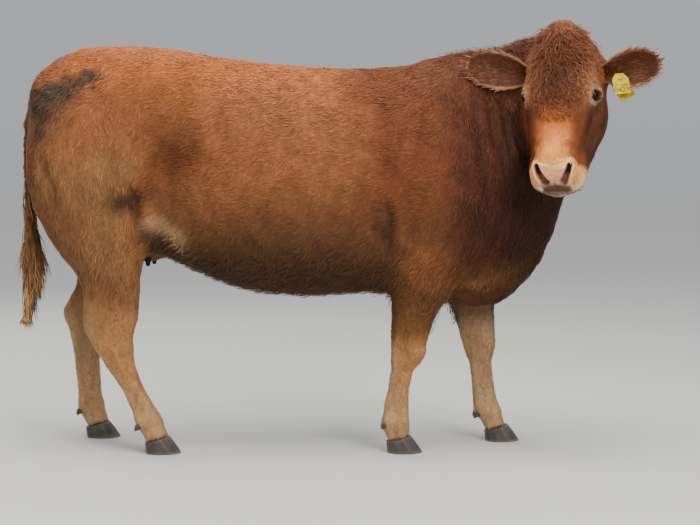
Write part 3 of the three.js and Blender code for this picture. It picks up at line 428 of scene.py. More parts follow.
shift[:, 1] -= near_head * 0.015 * blob(head, (-0.06, 0, 0.07), (0.07, 0.11, 0.08))
shift[:, 0] += near_head * 0.008 * blob(head, (0.49, 0, -0.085), (0.05, 0.05, 0.025))
hole, along = from_nostril(head)
hole_half = 0.0070 + 0.0045 * np.clip(along, 0, 1)
comma = np.exp(-(hole / hole_half) ** 4)
shift -= (near_head * (head[:, 0] > 0.43) * 0.018 * comma)[:, None] * NOSTRIL_INTO
outer = across - np.interp(head[:, 0], [p[0] for p in NOSTRIL], [p[1] for p in NOSTRIL])
wing = np.exp(-((hole - 1.75 * hole_half) / 0.0052) ** 2) * rising(outer, -0.004, 0.006)
shift += (near_head * (head[:, 0] > 0.43) * 0.0048 * wing)[:, None] * face_out
lip_away = nearest_on(LIP_LINE, head[:, [0, 2]] + np.outer(0.008 * rising(across, 0.02, 0.07), (0, 1)))[0]
lips = near_head * (across < 0.125) * rising(head[:, 0], 0.30, 0.36) \
    * rising(face_out[:, 0] + np.abs(face_out[:, 1]), 0.2, 0.5)
parting = np.exp(-(lip_away / 0.0034) ** 2) - 0.35 * np.exp(-((lip_away - 0.0085) / 0.004) ** 2)
shift -= (0.0085 * parting * lips)[:, None] * face_out
middle_line = np.exp(-((head[:, 1] - NOSE_MIDDLE) / 0.0028) ** 2) \
    * (head[:, 0] > 0.49) * (head[:, 2] > -0.052)
shift -= (near_head * 0.0028 * middle_line * (1 - rising(head[:, 2], -0.02, 0.02)))[:, None] * face_out
wrinkle = np.abs(head[:, 0] - 0.458 + 4.0 * (head[:, 1] - NOSE_MIDDLE) ** 2)
wrinkle_depth = np.exp(-(wrinkle / 0.0030) ** 2) - 0.4 * np.exp(-((wrinkle - 0.007) / 0.004) ** 2)
shift -= (0.0026 * near_head * wrinkle_depth
          * rising(head[:, 2], 0.01, 0.03) * (1 - rising(across, 0.028, 0.045)))[:, None] * face_out
put(skin.data, points + shift @ np.array(HEAD_TURN).T)

# ------------------------------------------------------------------ ears
# Each ear is a cupped leaf of gristle under thin hide, rolled to a tube at its root. It grows
# from the side of the poll, so its hide is joined to the rest.
EAR_ROOT = np.array((0.092, 0.118, -0.022))
EAR_LENGTH = 0.243
EAR_LEAN = {"right": (-0.01, 0.885, 0.465), "left": (0.065, 0.925, 0.375)}
EAR_STARTS = -0.20
EAR_PLACES = (-0.20, 0, 0.12, 0.26, 0.44, 0.60, 0.76, 0.88, 0.96, 1.0)
EAR_HALF = (0.016, 0.022, 0.034, 0.050, 0.061, 0.063, 0.056, 0.042, 0.022, 0.004)
EAR_CUP = (0.022, 0.026, 0.026, 0.026, 0.027, 0.024, 0.018, 0.010, 0.004, 0.001)
EAR_ROWS, EAR_COLUMNS = 46, 20


def ear_axes(side):
    ahead, aside, above = EAR_LEAN[side]
    lean = unit((ahead, SIDES[side] * aside, above))
    facing = unit(np.array((0.42, 0, 0.9)) - 0.9 * lean[2] * lean)
    return lean, facing, unit(np.cross(facing, lean)) * SIDES[side]


def ear_leaf(side):
    lean, facing, wide = ear_axes(side)
    bpy.ops.mesh.primitive_grid_add(x_subdivisions=EAR_COLUMNS, y_subdivisions=EAR_ROWS, size=2)
    leaf = bpy.context.object
    flat = places(leaf.data)
    u, along = flat[:, 0], (flat[:, 1] + 1) / 2
    along = EAR_STARTS + (1 - EAR_STARTS) * along ** 0.9
    half = np.interp(along, EAR_PLACES, EAR_HALF)
    cup = np.interp(along, EAR_PLACES, EAR_CUP)
    hollow = cup * u * u - cup * 0.55
    rim = 0.0015 * np.sin(along * 31) * u ** 4
    root = EAR_ROOT * (1, SIDES[side], 1)
    shape = root + np.outer(along * EAR_LENGTH, lean) + np.outer(u * half, wide) \
        + np.outer(hollow + rim, facing)
    put(leaf.data, from_head(shape))
    finished_with(leaf, "SOLIDIFY", thickness=0.0055, offset=0.0)
    finished_with(leaf, "SUBSURF", levels=1, render_levels=1)
    alone(leaf)
    bpy.ops.object.mode_set(mode="EDIT")
    bpy.ops.mesh.select_all(action="SELECT")
    bpy.ops.mesh.normals_make_consistent(inside=False)
    bpy.ops.object.mode_set(mode="OBJECT")
    bpy.ops.object.shade_smooth()
    leaf.data.attributes.new("ear", "FLOAT", "POINT").data.foreach_set(
        "value", np.full(len(leaf.data.vertices), SIDES[side], np.float32))
    return leaf


ears = [ear_leaf(side) for side in SIDES]

# ------------------------------------------------------------------ lids
# Thick lids close over each eyeball to an almond opening. They are rims of hide whose inner
# edge lies on the ball and whose outer edge runs under the skin round it.
EYE_RADIUS = 0.0205
EYE_OUTWARD = {side: unit((0.10, SIDES[side] * 0.90, 0.42)) for side in SIDES}
LID_WIDE, LID_HIGH = 0.0175, 0.0098
LID_RINGS = ((1.0, 0.0002), (1.04, 0.0016), (1.16, 0.0026), (1.36, 0.0022), (1.66, 0.0008), (2.1, -0.0035))
LID_SIDES = 44


def eye_axes(side):
    outward = EYE_OUTWARD[side]
    back = unit(np.array((1, 0, 0)) - outward[0] * outward)
    corner = unit(back - 0.45 * np.cross(outward, back) * SIDES[side])
    return outward, corner, np.cross(outward, corner) * SIDES[side]


def lid(side, under):
    outward, corner, brow = eye_axes(side)
    centre = on_head([eye_centre[side]])[0]
    angle = np.arange(LID_SIDES) / LID_SIDES * 2 * math.pi
    rings = []
    for spread, raised in LID_RINGS:
        wide = LID_WIDE * spread * np.cos(angle)
        high = LID_HIGH * (spread + 0.25 * (spread - 1)) * np.sin(angle) * (1 - 0.22 * np.cos(angle) ** 2)
        ball = np.sqrt(np.maximum(EYE_RADIUS ** 2 - wide ** 2 - high ** 2, 0.0036 ** 2))
        ring = centre + np.outer(wide, corner) + np.outer(high, brow)
        start = from_head(ring + outward * 0.05)
        inward = Vector(-(np.array(HEAD_TURN) @ outward))
        level = []
        for place in start:
            hit = under.ray_cast(Vector(place), inward, 0.09)
            level.append(0.05 - hit[3] if hit[0] is not None else 0.0)
        level = np.array(level)
        join = np.clip((spread - 1) / 0.4, 0, 1)
        out = ball * (1 - join) + np.minimum(level, 0.026) * join + raised
        rings.append(ring + np.outer(out, outward))
    corners = from_head(np.concatenate(rings))
    faces = []
    for r in range(len(LID_RINGS) - 1):
        for i in range(LID_SIDES):
            j = (i + 1) % LID_SIDES
            quad = [r * LID_SIDES + i, r * LID_SIDES + j, (r + 1) * LID_SIDES + j, (r + 1) * LID_SIDES + i]
            faces.append(quad[::-1] if SIDES[side] > 0 else quad)
    mesh = bpy.data.meshes.new("lid_" + side)
    mesh.from_pydata([tuple(c) for c in corners], [], faces)
    piece = bpy.data.objects.new("lid_" + side, mesh)
    bpy.context.scene.collection.objects.link(piece)
    finished_with(piece, "SUBSURF", levels=1, render_levels=1)
    alone(piece)
    bpy.ops.object.shade_smooth()
    return piece


mesh_tree = BVHTree.FromObject(skin, bpy.context.evaluated_depsgraph_get())
lids = [lid(side, mesh_tree) for side in SIDES]

MOST_SKIN = 150000
triangle_count = sum(len(p.vertices) - 2 for p in skin.data.polygons)
finished_with(skin, "DECIMATE", ratio=MOST_SKIN / triangle_count)
skin = joined("skin", [skin] + ears + lids)
finished_with(skin, "TRIANGULATE")
alone(skin)
bpy.ops.object.shade_smooth()


def away_from(nodes, points):
    """How far each place is from the nearest of these solids."""
    corners, faces = [], []
    for node in nodes:
        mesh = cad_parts[node].data
        faces += [[len(corners) + v for v in face.vertices] for face in mesh.polygons]
        corners += [v.co[:] for v in mesh.vertices]
    tree = BVHTree.FromPolygons(corners, faces)
    return np.array([tree.find_nearest(Vector(place))[3] for place in points])


skin_points, skin_out = places(skin.data), normals(skin.data)
skin_ear = np.zeros(len(skin_points), np.float32)
skin.data.attributes["ear"].data.foreach_get("value", skin_ear)
skin_ear = np.sign(np.round(skin_ear))
to_head = away_from(["head", "muzzle", "lower_jaw"], skin_points)
to_rest = away_from(["trunk", "neck"], skin_points)
skin_face = rising(to_rest - to_head, -0.004, 0.018) * (skin_ear == 0)
for node in FLESH + ["ear_right", "ear_left"]:
    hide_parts(node)
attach(skin, "root")

# ------------------------------------------------------------------ colours of the hide
# The coat is chestnut: more orange along the back, partly its own colour and partly a painted highlight,
# darker on neck, chest and low flank, partly its own colour and partly painted shade, tan on thigh and
# legs, and cream round eyes and nose. Painted shade also darkens the creases, the neck under the head,
# the hollow above the udder, the sides of the face, the lips and the nostrils, and a painted highlight
# runs along the rump's ridge. Skin and hair take the same markings.
CHESTNUT = (148, 91, 55)
ORANGE_AND_HIGHLIGHT = (178, 100, 51)
WITHERS_BROWN = (106, 55, 28)
NECK_BROWN_SHADED = (82, 42, 25)
THROAT_SHADE = (48, 24, 15)
LOW_BROWN_SHADED = (96, 62, 36)
BELLY_BROWN_SHADED = (70, 46, 27)
HIP_RUST = (96, 50, 24)
THIGH_TAN = (142, 100, 62)
THIGH_RED = (118, 74, 48)
CREASE_SHADE = (54, 32, 17)
FLANK_PALE = (214, 174, 128)
ARM_BROWN = (114, 75, 40)
BRISKET_BROWN = (116, 80, 44)
LEG_TAN = (180, 126, 78)
LEG_INSIDE = (150, 122, 92)
PASTERN_CREAM = (190, 152, 108)
FOREHEAD_BROWN = (114, 63, 36)
BROW_TAN = (164, 104, 66)
BRIDGE_ORANGE = (190, 104, 48)
BRIDGE_PALE = (236, 146, 70)
BRIDGE_SIDE = (112, 58, 28)
CHEEK_BROWN_SHADED = (76, 44, 26)
MUZZLE_CREAM = (255, 190, 118)
NOSE_PINK = (222, 152, 122)
LIP_SHADE = (66, 50, 30)
LIP_CREAM = (236, 206, 168)
EYE_PALE = (204, 154, 114)
LID_DARK = (48, 30, 22)
NOSTRIL_DARK = (34, 16, 11)
NOSTRIL_MAUVE = (122, 78, 66)
EAR_BROWN = (86, 43, 24)
EAR_EDGE = (198, 142, 104)
STAIN_GREY = (66, 55, 46)
TAIL_BROWN = (122, 78, 47)
TAIL_CREAM = (220, 172, 116)
TAIL_HEAD = (120, 64, 36)
UDDER_PINK = (96, 68, 50)
UDDER_SHADE = (58, 42, 26)
TEAT_DARK = (34, 26, 24)
# The dung-stained wedge beside the tail, as lines of places ahead and up with their half-width.
STAINS = [([(-1.17, 1.15), (-1.075, 1.228)], 0.108), ([(-1.075, 1.228), (-0.985, 1.276)], 0.066),
          ([(-0.985, 1.276), (-0.885, 1.322)], 0.032)]
FLANK_SKIRT = [(-0.680, 0.800), (-0.630, 0.795), (-0.590, 0.780), (-0.550, 0.765)]
FLANK_SHADE = [(-0.695, 0.755), (-0.655, 0.762), (-0.612, 0.742), (-0.555, 0.712), (-0.470, 0.670)]
# The ridge from hook to pin bone, along which a highlight is painted, as places ahead and up.
RUMP_RIDGE = [(-1.110, 1.290), (-1.030, 1.332), (-0.940, 1.368), (-0.86, 1.385)]


def linear(colour):
    share = np.array(colour) / 255
    return np.where(share <= 0.04045, share / 12.92, ((share + 0.055) / 1.055) ** 2.4)


def drift(points, size, seed):
    """Smooth uneven noise, about -1 to 1, whose lumps are this size."""
    pick = np.random.default_rng(seed)
    total = np.zeros(len(points))
    for _ in range(7):
        along = unit(pick.normal(size=3)) * 2 * math.pi / (size * pick.uniform(1.3, 2.6))
        total += np.sin(points @ along + pick.uniform(0, 6.28))
    return total / 2.6


def ear_place(head, side):
    """How far along the ear each place is, how far across it, and its axes."""
    lean, facing, wide = ear_axes(side)
    from_root = head - EAR_ROOT * (1, SIDES[side], 1)
    along = from_root @ lean / EAR_LENGTH
    half = np.interp(along, EAR_PLACES, EAR_HALF)
    return along, from_root @ wide / np.maximum(half, 0.01), lean, facing, wide


def nose_pad(head, on_face):
    """The share of bare wet nose between and round the nostrils."""
    ahead = head[:, 0] + 0.006 * drift(from_head(head), 0.03, 6)
    aside = np.abs(head[:, 1] - NOSE_MIDDLE)
    return on_face * rising(ahead, 0.464, 0.472) * (1 - rising(aside, 0.044, 0.056)) * (head[:, 2] > -0.056)


def hide_colour(points, outward, on_face, ear):
    body, head = on_body(points), on_head(points)
    face_out = outward @ np.array(HEAD_TURN)
    body = body + 0.022 * np.stack([drift(points, 0.16, s) for s in (1, 2, 3)], 1)
    x, z = body[:, 0], body[:, 2]
    colour = np.tile(linear(CHESTNUT), (len(points), 1))

    def mixed(tint, share):
        nonlocal colour
        share = np.clip(share, 0, 1)[:, None]
        colour = colour + (linear(tint) - colour) * share

    flank = body[:, [0, 2]]
    outer = rising(np.abs(body[:, 1]), 0.10, 0.16)
    # More orange along the top of the back: partly the coat's own colour, partly a painted highlight where
    # the light from above falls.
    mixed(ORANGE_AND_HIGHLIGHT, 0.92 * rising(z, 1.16, 1.36) * (1 - rising(x, -0.10, 0.10)))
    mixed(WITHERS_BROWN, 0.80 * rising(x, -0.10, 0.14))
    mixed(HIP_RUST, 0.95 * blob(flank, (-0.60, 1.06), (0.085, 0.12)))
    # Low flank, belly and neck are darker, partly in the coat's own colour and partly as painted shade on the
    # undersides and away from the light above.
    mixed(LOW_BROWN_SHADED, 0.90 * (1 - rising(z, 0.74, 1.00)) * rising(x, -0.78, -0.60))
    mixed(BELLY_BROWN_SHADED, 0.90 * (1 - rising(z, 0.66, 0.80)) * rising(x, -0.62, -0.40))
    mixed(NECK_BROWN_SHADED, 0.95 * rising(x, 0.24, 0.44) * (1 - 0.40 * rising(z, 1.20, 1.36)))
    # Painted shade: the head's shadow on the neck below it, and a dark pool low on the front of the neck.
    mixed(THROAT_SHADE, 0.85 * rising(x, 0.46, 0.60) * (1 - rising(z, 1.12, 1.30)))
    mixed(THROAT_SHADE, 0.60 * blob(flank, (0.48, 0.82), (0.10, 0.11)))
    mixed(BRISKET_BROWN, 0.75 * blob(flank, (0.46, 0.60), (0.12, 0.06)))
    # Painted shade in the creases of the folds on the neck's right side.
    for path, width, _ in RIGHT_FOLDS:
        away, along = nearest_on(path, on_body(points)[:, [0, 2]])
        mixed(THROAT_SHADE, 0.65 * np.exp(-(away / width) ** 2) * (body[:, 1] < 0) * np.sin(math.pi * along))
    mixed(THIGH_TAN, 0.85 * (1 - rising(x, -0.80, -0.68)) * (1 - rising(z, 0.98, 1.14)))
    mixed(THIGH_RED, 0.60 * blob(flank, (-1.00, 0.80), (0.09, 0.13)))
    mixed(THIGH_RED, 0.75 * blob(flank, (-0.82, 0.55), (0.10, 0.09)))
    # Painted shade in the hollow before the thigh.
    mixed(CREASE_SHADE, 0.95 * blob(flank, (-0.750, 0.904), (0.090, 0.040)) * outer)
    # Painted shade along the creases behind the foreleg, before the thigh and under the buttock.
    for number, dark in ((0, 0.5), (1, 0.6), (2, 0.45)):
        path, width, _ = BOTH_FOLDS[number]
        away, along = nearest_on(path, on_body(points)[:, [0, 2]])
        mixed(CREASE_SHADE, dark * np.exp(-(away / width) ** 2) * outer * np.sin(math.pi * along) ** 0.5)
    # Painted shade in the crease behind the foreleg.
    mixed(CREASE_SHADE, 0.70 * blob(flank, (0.135, 0.79), (0.020, 0.08)) * outer)
    mixed(FLANK_PALE, 0.45 * np.exp(-(nearest_on(FLANK_SKIRT, flank)[0] / 0.028) ** 2))
    mixed(TAIL_HEAD, 0.95 * blob(body, (-1.025, 0, 1.378), (0.065, 0.16, 0.030)))
    right = 1 - rising(points[:, 1], belly.y - 0.05, belly.y + 0.01)
    level = on_body(points)[:, [0, 2]]
    # Painted highlight along the ridge from hook to pin bone.
    ridge_highlight = np.exp(-(nearest_on(RUMP_RIDGE, level)[0] / 0.018) ** 2) * outer
    wander = [drift(points, 0.040, seed) + drift(points, 0.012, seed + 2) for seed in (4, 5)]
    level = level + 0.009 * np.stack(wander, 1)
    stained = np.max([np.exp(-(nearest_on(line, level)[0] / half) ** 4) for line, half in STAINS], 0)
    mixed(STAIN_GREY, right * stained * (0.90 + 0.10 * drift(points, 0.02, 8)))
    # The painted highlight of the ridge is laid over the stain.
    mixed(ORANGE_AND_HIGHLIGHT, 0.90 * ridge_highlight)
    mixed(CHESTNUT, 0.80 * blob(flank, (0.26, 0.68), (0.09, 0.09)) * outer)
    mixed(ARM_BROWN, 0.85 * (1 - rising(z, 0.50, 0.62)) * rising(x, -0.2, 0.1) * (1 - rising(x, 0.28, 0.38)))
    leg = 1 - np.where(x > -0.3, rising(z, 0.35, 0.47), rising(z, 0.34, 0.62))
    mixed(LEG_TAN, 0.90 * leg)
    inside = rising(-outward[:, 1] * np.sign(body[:, 1]), 0.1, 0.7)
    mixed(LEG_INSIDE, 0.75 * inside * (1 - rising(z, 0.40, 0.60)))
    knees = np.exp(-((z - np.where(x > -0.3, 0.355, 0.47)) / 0.035) ** 2) * leg * drift(points, 0.05, 10)
    mixed(ARM_BROWN, 0.35 * np.clip(knees, 0, 1))
    mixed(ARM_BROWN, 0.30 * leg * np.clip(drift(points * (1, 1, 0.4), 0.03, 11), 0, 1))
    mixed(PASTERN_CREAM, 0.75 * leg * rising(-outward[:, 0], 0.1, 0.8) + 0.5 * (1 - rising(z, 0.12, 0.30)))
    tail = (1 - rising(x, -1.115, -1.085)) * (1 - rising(z, 1.18, 1.26))
    mixed(TAIL_BROWN, 0.85 * tail * (z > 0.3))
    mixed(TAIL_CREAM, (x < -1.09) * (z > 0.35) * (1 - rising(z, 0.44, 0.62)))
    udder = blob(body, (-0.77, 0, 0.72), (0.13, 0.12, 0.08)) * rising(-outward[:, 2], 0.0, 0.4)
    mixed(UDDER_PINK, 0.9 * udder)
    # Painted shade in the hollow under the flank, between the thigh and the belly above the udder.
    mixed(UDDER_SHADE, 0.90 * np.exp(-(nearest_on(FLANK_SHADE, flank)[0] / 0.027) ** 2))
    teat = (1 - rising(from_teat(points), TEAT_HALF, 1.5 * TEAT_HALF)) * (1 - rising(z, 0.70, 0.74))
    mixed(TEAT_DARK, 0.95 * teat * rising(z, 0.60, 0.64))

    near = on_face
    across = np.abs(head[:, 1])
    mirrored = head * (1, 0, 1) + across[:, None] * (0, 1, 0) + 0.006 * drift(points, 0.03, 6)[:, None]
    front = rising(face_out[:, 2], 0.1, 0.7)
    mixed(FOREHEAD_BROWN, near * 0.95)
    mixed(BROW_TAN, near * 0.8 * rising(-mirrored[:, 0], 0.00, 0.05))
    mixed(BROW_TAN, near * 0.9 * blob(mirrored[:, :2], (0.12, 0.085), (0.09, 0.034)))
    mixed(NOSTRIL_DARK, near * 0.60 * blob(mirrored[:, :2], (0.115, 0.0), (0.05, 0.045)) * front)
    # The sides of the face turned from the front are darker, partly in the coat's own colour and partly as
    # painted shade.
    mixed(CHEEK_BROWN_SHADED, near * rising(mirrored[:, 0], 0.16, 0.24) * (1 - front) * 0.95)
    mixed(BRIDGE_SIDE, near * rising(mirrored[:, 0], 0.22, 0.30) * front)
    ridge = near * front * (1 - rising(mirrored[:, 1] + 0.006 * drift(points, 0.02, 9), 0.022, 0.078))
    mixed(BRIDGE_ORANGE, ridge * rising(mirrored[:, 0], 0.225, 0.31))
    mixed(BRIDGE_PALE, ridge * rising(mirrored[:, 0], 0.30, 0.42))
    mixed(MUZZLE_CREAM, near * rising(mirrored[:, 0], 0.430, 0.452) * rising(mirrored[:, 2], -0.07, -0.03))
    mixed(LIP_CREAM, near * 0.9 * rising(mirrored[:, 0], 0.43, 0.48)
          * (1 - rising(mirrored[:, 2], -0.045, -0.015)))
    mixed(BRIDGE_PALE, near * 0.6 * rising(mirrored[:, 0], 0.43, 0.46) * rising(across, 0.062, 0.085)
          * rising(mirrored[:, 2], -0.040, -0.010))
    pad = nose_pad(head, near)
    mixed(NOSE_PINK, pad * 0.95)
    # Painted shade on the lower edge of the nose pad, where it turns under towards the lips.
    mixed(LIP_SHADE, pad * 0.95 * (1 - rising(mirrored[:, 2], -0.022, 0.006)))
    chin = near * rising(head[:, 0], 0.44, 0.48) * (1 - rising(head[:, 2], -0.060, -0.054))
    mixed(LIP_CREAM, chin * 0.6 * rising(across, 0.030, 0.055))
    # Painted shade on the middle of the lower lip, under the upper one.
    mixed(LIP_SHADE, chin * 0.7 * (1 - rising(across, 0.035, 0.055)) * rising(head[:, 2], -0.085, -0.070))
    lip_away = nearest_on(LIP_LINE, head[:, [0, 2]] + np.outer(0.008 * rising(across, 0.02, 0.07), (0, 1)))[0]
    # Painted shade along the parting of the lips.
    mixed(LID_DARK, near * 0.8 * np.exp(-(lip_away / 0.0045) ** 2) * rising(head[:, 0], 0.33, 0.40))
    mixed(EYE_PALE, near * 0.8 * blob(mirrored, (0.198, 0.128, 0.052), (0.036, 0.028, 0.026)))
    for side in SIDES:
        outward_axis, corner, brow = eye_axes(side)
        off = head - on_head([eye_centre[side]])[0]
        ring = np.hypot(off @ corner / LID_WIDE, off @ brow / LID_HIGH)
        mixed(EYE_PALE, near * (off @ outward_axis > 0) * 0.75 * np.exp(-((ring - 1.75) / 0.35) ** 2))
        mixed(LID_DARK, near * (off @ outward_axis > 0) * (1 - rising(ring, 1.10, 1.40)))
        is_ear = ear == SIDES[side]
        along, beside, _, facing, _ = ear_place(head, side)
        inner = rising(face_out @ facing, 0.0, 0.4)
        mixed(EAR_BROWN, is_ear * (0.55 + 0.4 * inner))
        mixed(EAR_EDGE, is_ear * (rising(np.abs(beside), 0.80, 0.97) + rising(along, 0.93, 0.99)) * 0.7)
    hole, along = from_nostril(head)
    in_hole = near * (head[:, 0] > 0.43) * np.exp(-(hole / (0.0085 + 0.0035 * along)) ** 4)
    mixed(NOSTRIL_MAUVE, 1.15 * in_hole)
    inner_edge = np.abs(head[:, 1] - NOSE_MIDDLE) - np.interp(head[:, 0], *zip(*[p[:2] for p in NOSTRIL]))
    # Painted shade in the depth of each nostril, over the mauve lining.
    nostril_shade = np.maximum(1 - rising(along, 0.35, 0.75), rising(inner_edge, -0.001, 0.006))
    mixed(NOSTRIL_DARK, 1.2 * in_hole * nostril_shade)
    return colour


def paint(piece, colour):
    marks = piece.data.color_attributes.new(name="marks", type="FLOAT_COLOR", domain="POINT")
    marks.data.foreach_set("color", np.hstack([colour, np.ones((len(colour), 1))]).astype(np.float32).ravel())


def material(name, roughness, **values):
    made = bpy.data.materials.new(name)
    made.use_nodes = True
    shader = made.node_tree.nodes["Principled BSDF"]
    shader.inputs["Roughness"].default_value = roughness
    for socket, value in values.items():
        shader.inputs[socket.replace("_", " ")].default_value = value
    return made, made.node_tree, shader


def node(tree, kind, **settings):
    made = tree.nodes.new("ShaderNode" + kind)
    for setting, value in settings.items():
        if setting in made.inputs:
            made.inputs[setting].default_value = value
        else:
            setattr(made, setting, value)
    return made


def hide_material(name, roughness, spread, bump):
    """Marked hide: the markings, lighter and darker by a fine grain, with a low grain of bumps."""
    made, tree, shader = material(name, roughness, Sheen_Weight=0.03, Sheen_Roughness=0.5,
                                  Specular_IOR_Level=0.16)
    marks = node(tree, "Attribute", attribute_name="marks")
    where = node(tree, "TexCoord")
    grain = node(tree, "TexNoise", Scale=130.0, Detail=3.0)
    tone = node(tree, "MapRange")
    tone.inputs["From Min"].default_value, tone.inputs["From Max"].default_value = 0.25, 0.75
    tone.inputs["To Min"].default_value, tone.inputs["To Max"].default_value = 1 - spread, 1 + spread
    toned = node(tree, "VectorMath", operation="MULTIPLY")
    raised = node(tree, "Bump", Strength=bump, Distance=0.002)
    tree.links.new(where.outputs["Object"], grain.inputs["Vector"])
    tree.links.new(grain.outputs["Fac"], tone.inputs["Value"])
    tree.links.new(marks.outputs["Color"], toned.inputs[0])
    tree.links.new(tone.outputs["Result"], toned.inputs[1])
    tree.links.new(toned.outputs["Vector"], shader.inputs["Base Color"])
    tree.links.new(grain.outputs["Fac"], raised.inputs["Height"])
    tree.links.new(raised.outputs["Normal"], shader.inputs["Normal"])
    return made


skin.data.materials.clear()
hide = hide_material("hide", 0.72, 0.22, 0.5)
skin.data.materials.append(hide)
paint(skin, hide_colour(skin_points, skin_out, skin_face, skin_ear))

# The nose is bare, cobbled in small raised cells, and wet.
wet_share = nose_pad(on_head(skin_points), skin_face)
skin.data.attributes.new("wet", "FLOAT", "POINT").data.foreach_set("value", wet_share.astype(np.float32))
tree = hide.node_tree
wet = node(tree, "Attribute", attribute_name="wet")
gloss = node(tree, "MapRange")
gloss.inputs["To Min"].default_value, gloss.inputs["To Max"].default_value = 0.72, 0.34
cells = node(tree, "TexVoronoi", Scale=330.0)
cobbled = node(tree, "Math", operation="MULTIPLY")
height = node(tree, "Math", operation="ADD")
tree.links.new(wet.outputs["Fac"], gloss.inputs["Value"])
tree.links.new(gloss.outputs["Result"], tree.nodes["Principled BSDF"].inputs["Roughness"])
tree.links.new(tree.nodes["Texture Coordinate"].outputs["Object"], cells.inputs["Vector"])
tree.links.new(cells.outputs["Distance"], cobbled.inputs[0])
tree.links.new(wet.outputs["Fac"], cobbled.inputs[1])
tree.links.new(tree.nodes["Noise Texture"].outputs["Fac"], height.inputs[0])
tree.links.new(cobbled.outputs["Value"], height.inputs[1])
tree.links.new(height.outputs["Value"], tree.nodes["Bump"].inputs["Height"])

# ------------------------------------------------------------------ unwrapped hide
# The hide is laid out flat in patches, as a tanner would cut it, and each lock of hair keeps the
# place of its root on that layout.
alone(skin)
while skin.data.uv_layers:
    skin.data.uv_layers.remove(skin.data.uv_layers[0])
skin.data.uv_layers.new(name="OFBake")
bpy.ops.object.mode_set(mode="EDIT")
bpy.ops.mesh.select_all(action="SELECT")
bpy.ops.uv.smart_project(angle_limit=math.radians(66), island_margin=0.002)
bpy.ops.object.mode_set(mode="OBJECT")

# ------------------------------------------------------------------ eyes
# Each eye is a wet ball, nearly all dark brown iris where the lids leave it bare, with a wide
# black pupil lying level and a clear bulge over both.
IRIS_BROWN, PUPIL_BLACK, EYE_EDGE = (32, 19, 12), (5, 4, 5), (70, 54, 46)


def eyeball(side):
    outward, corner, brow = eye_axes(side)
    bpy.ops.mesh.primitive_uv_sphere_add(segments=48, ring_count=36, radius=EYE_RADIUS)
    ball = bpy.context.object
    ball.name = "eyeball_" + side
    aside, above, out = places(ball.data).T
    away = np.hypot(aside, above)
    colour = np.tile(linear(IRIS_BROWN), (len(away), 1))
    spokes = 1 + 0.25 * np.sin(np.arctan2(above, aside) * 17) * rising(away, 0.005, 0.009)
    colour *= spokes[:, None]
    colour += (linear(EYE_EDGE) - colour) * (1 - rising(out, 0.006, 0.010))[:, None]
    in_pupil = np.hypot(aside / 0.0085, above / 0.0052) < 1
    colour += (linear(PUPIL_BLACK) - colour) * in_pupil[:, None] * (out > 0)[:, None]
    out = out + 0.0018 * np.exp(-(away / 0.0110) ** 4) * (out > 0)
    centre = on_head([eye_centre[side]])[0]
    rounded = centre + np.outer(aside, corner) + np.outer(above, brow) + np.outer(out, outward)
    put(ball.data, from_head(rounded))
    paint(ball, colour)
    alone(ball)
    bpy.ops.object.mode_set(mode="EDIT")
    bpy.ops.mesh.select_all(action="SELECT")
    bpy.ops.mesh.normals_make_consistent(inside=False)
    bpy.ops.object.mode_set(mode="OBJECT")
    bpy.ops.object.shade_smooth()
    ball.data.materials.append(eye_material)
    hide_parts("eye_" + side)
    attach(ball, "root")


eye_material, tree, shader = material("wet eye", 0.05, IOR=1.34, Specular_IOR_Level=0.22)
marks = node(tree, "Attribute", attribute_name="marks")
tree.links.new(marks.outputs["Color"], shader.inputs["Base Color"])
for side in SIDES:
    eyeball(side)

# ------------------------------------------------------------------ hooves
# Two claws of grey horn carry each foot and two dewclaws sit behind the pastern. Horn grows in
# rings from the hairline and is worn paler where it meets the ground.
HORN_GREY, HORN_RIM, HORN_WORN = (66, 60, 55), (104, 92, 80), (116, 106, 94)
HORN_CELL, HORN_FACES = 0.0021, 2600


def hoof_horn(node_name):
    horn = copy_of(node_name, node_name + "_horn")
    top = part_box(node_name)[1][2]
    finished_with(horn, "REMESH", mode="VOXEL", voxel_size=HORN_CELL)
    evened(horn.data, np.full(len(horn.data.vertices), 0.7), 14)
    spots = places(horn.data)
    drop = spots[:, 2].min() if "dewclaw" not in node_name else 0
    spots[:, 2] -= drop * (1 - rising(spots[:, 2], 0.002, 0.02))
    ring = np.sin(spots[:, 2] * 2 * math.pi / 0.0075 + 1.2 * drift(spots, 0.05, 31))
    spots += normals(horn.data) * (0.00045 * ring * rising(spots[:, 2], 0.004, 0.01))[:, None]
    put(horn.data, spots)
    faces = sum(len(p.vertices) - 2 for p in horn.data.polygons)
    finished_with(horn, "DECIMATE", ratio=min(1, HORN_FACES / faces))
    spots = places(horn.data)
    grain = 1 + 0.22 * drift(spots, 0.02, 32) + 0.12 * drift(spots * (1, 1, 0.2), 0.004, 33)
    colour = linear(HORN_GREY) * grain[:, None]
    colour += (linear(HORN_RIM) - colour) * (0.6 * rising(spots[:, 2], top - 0.014, top - 0.004))[:, None]
    colour += (linear(HORN_WORN) - colour) * (0.7 * (1 - rising(spots[:, 2], 0.002, 0.012)))[:, None]
    paint(horn, np.clip(colour, 0, 1))
    alone(horn)
    bpy.ops.object.shade_smooth()
    horn.data.materials.append(horn_material)
    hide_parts(node_name)
    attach(horn, "root")


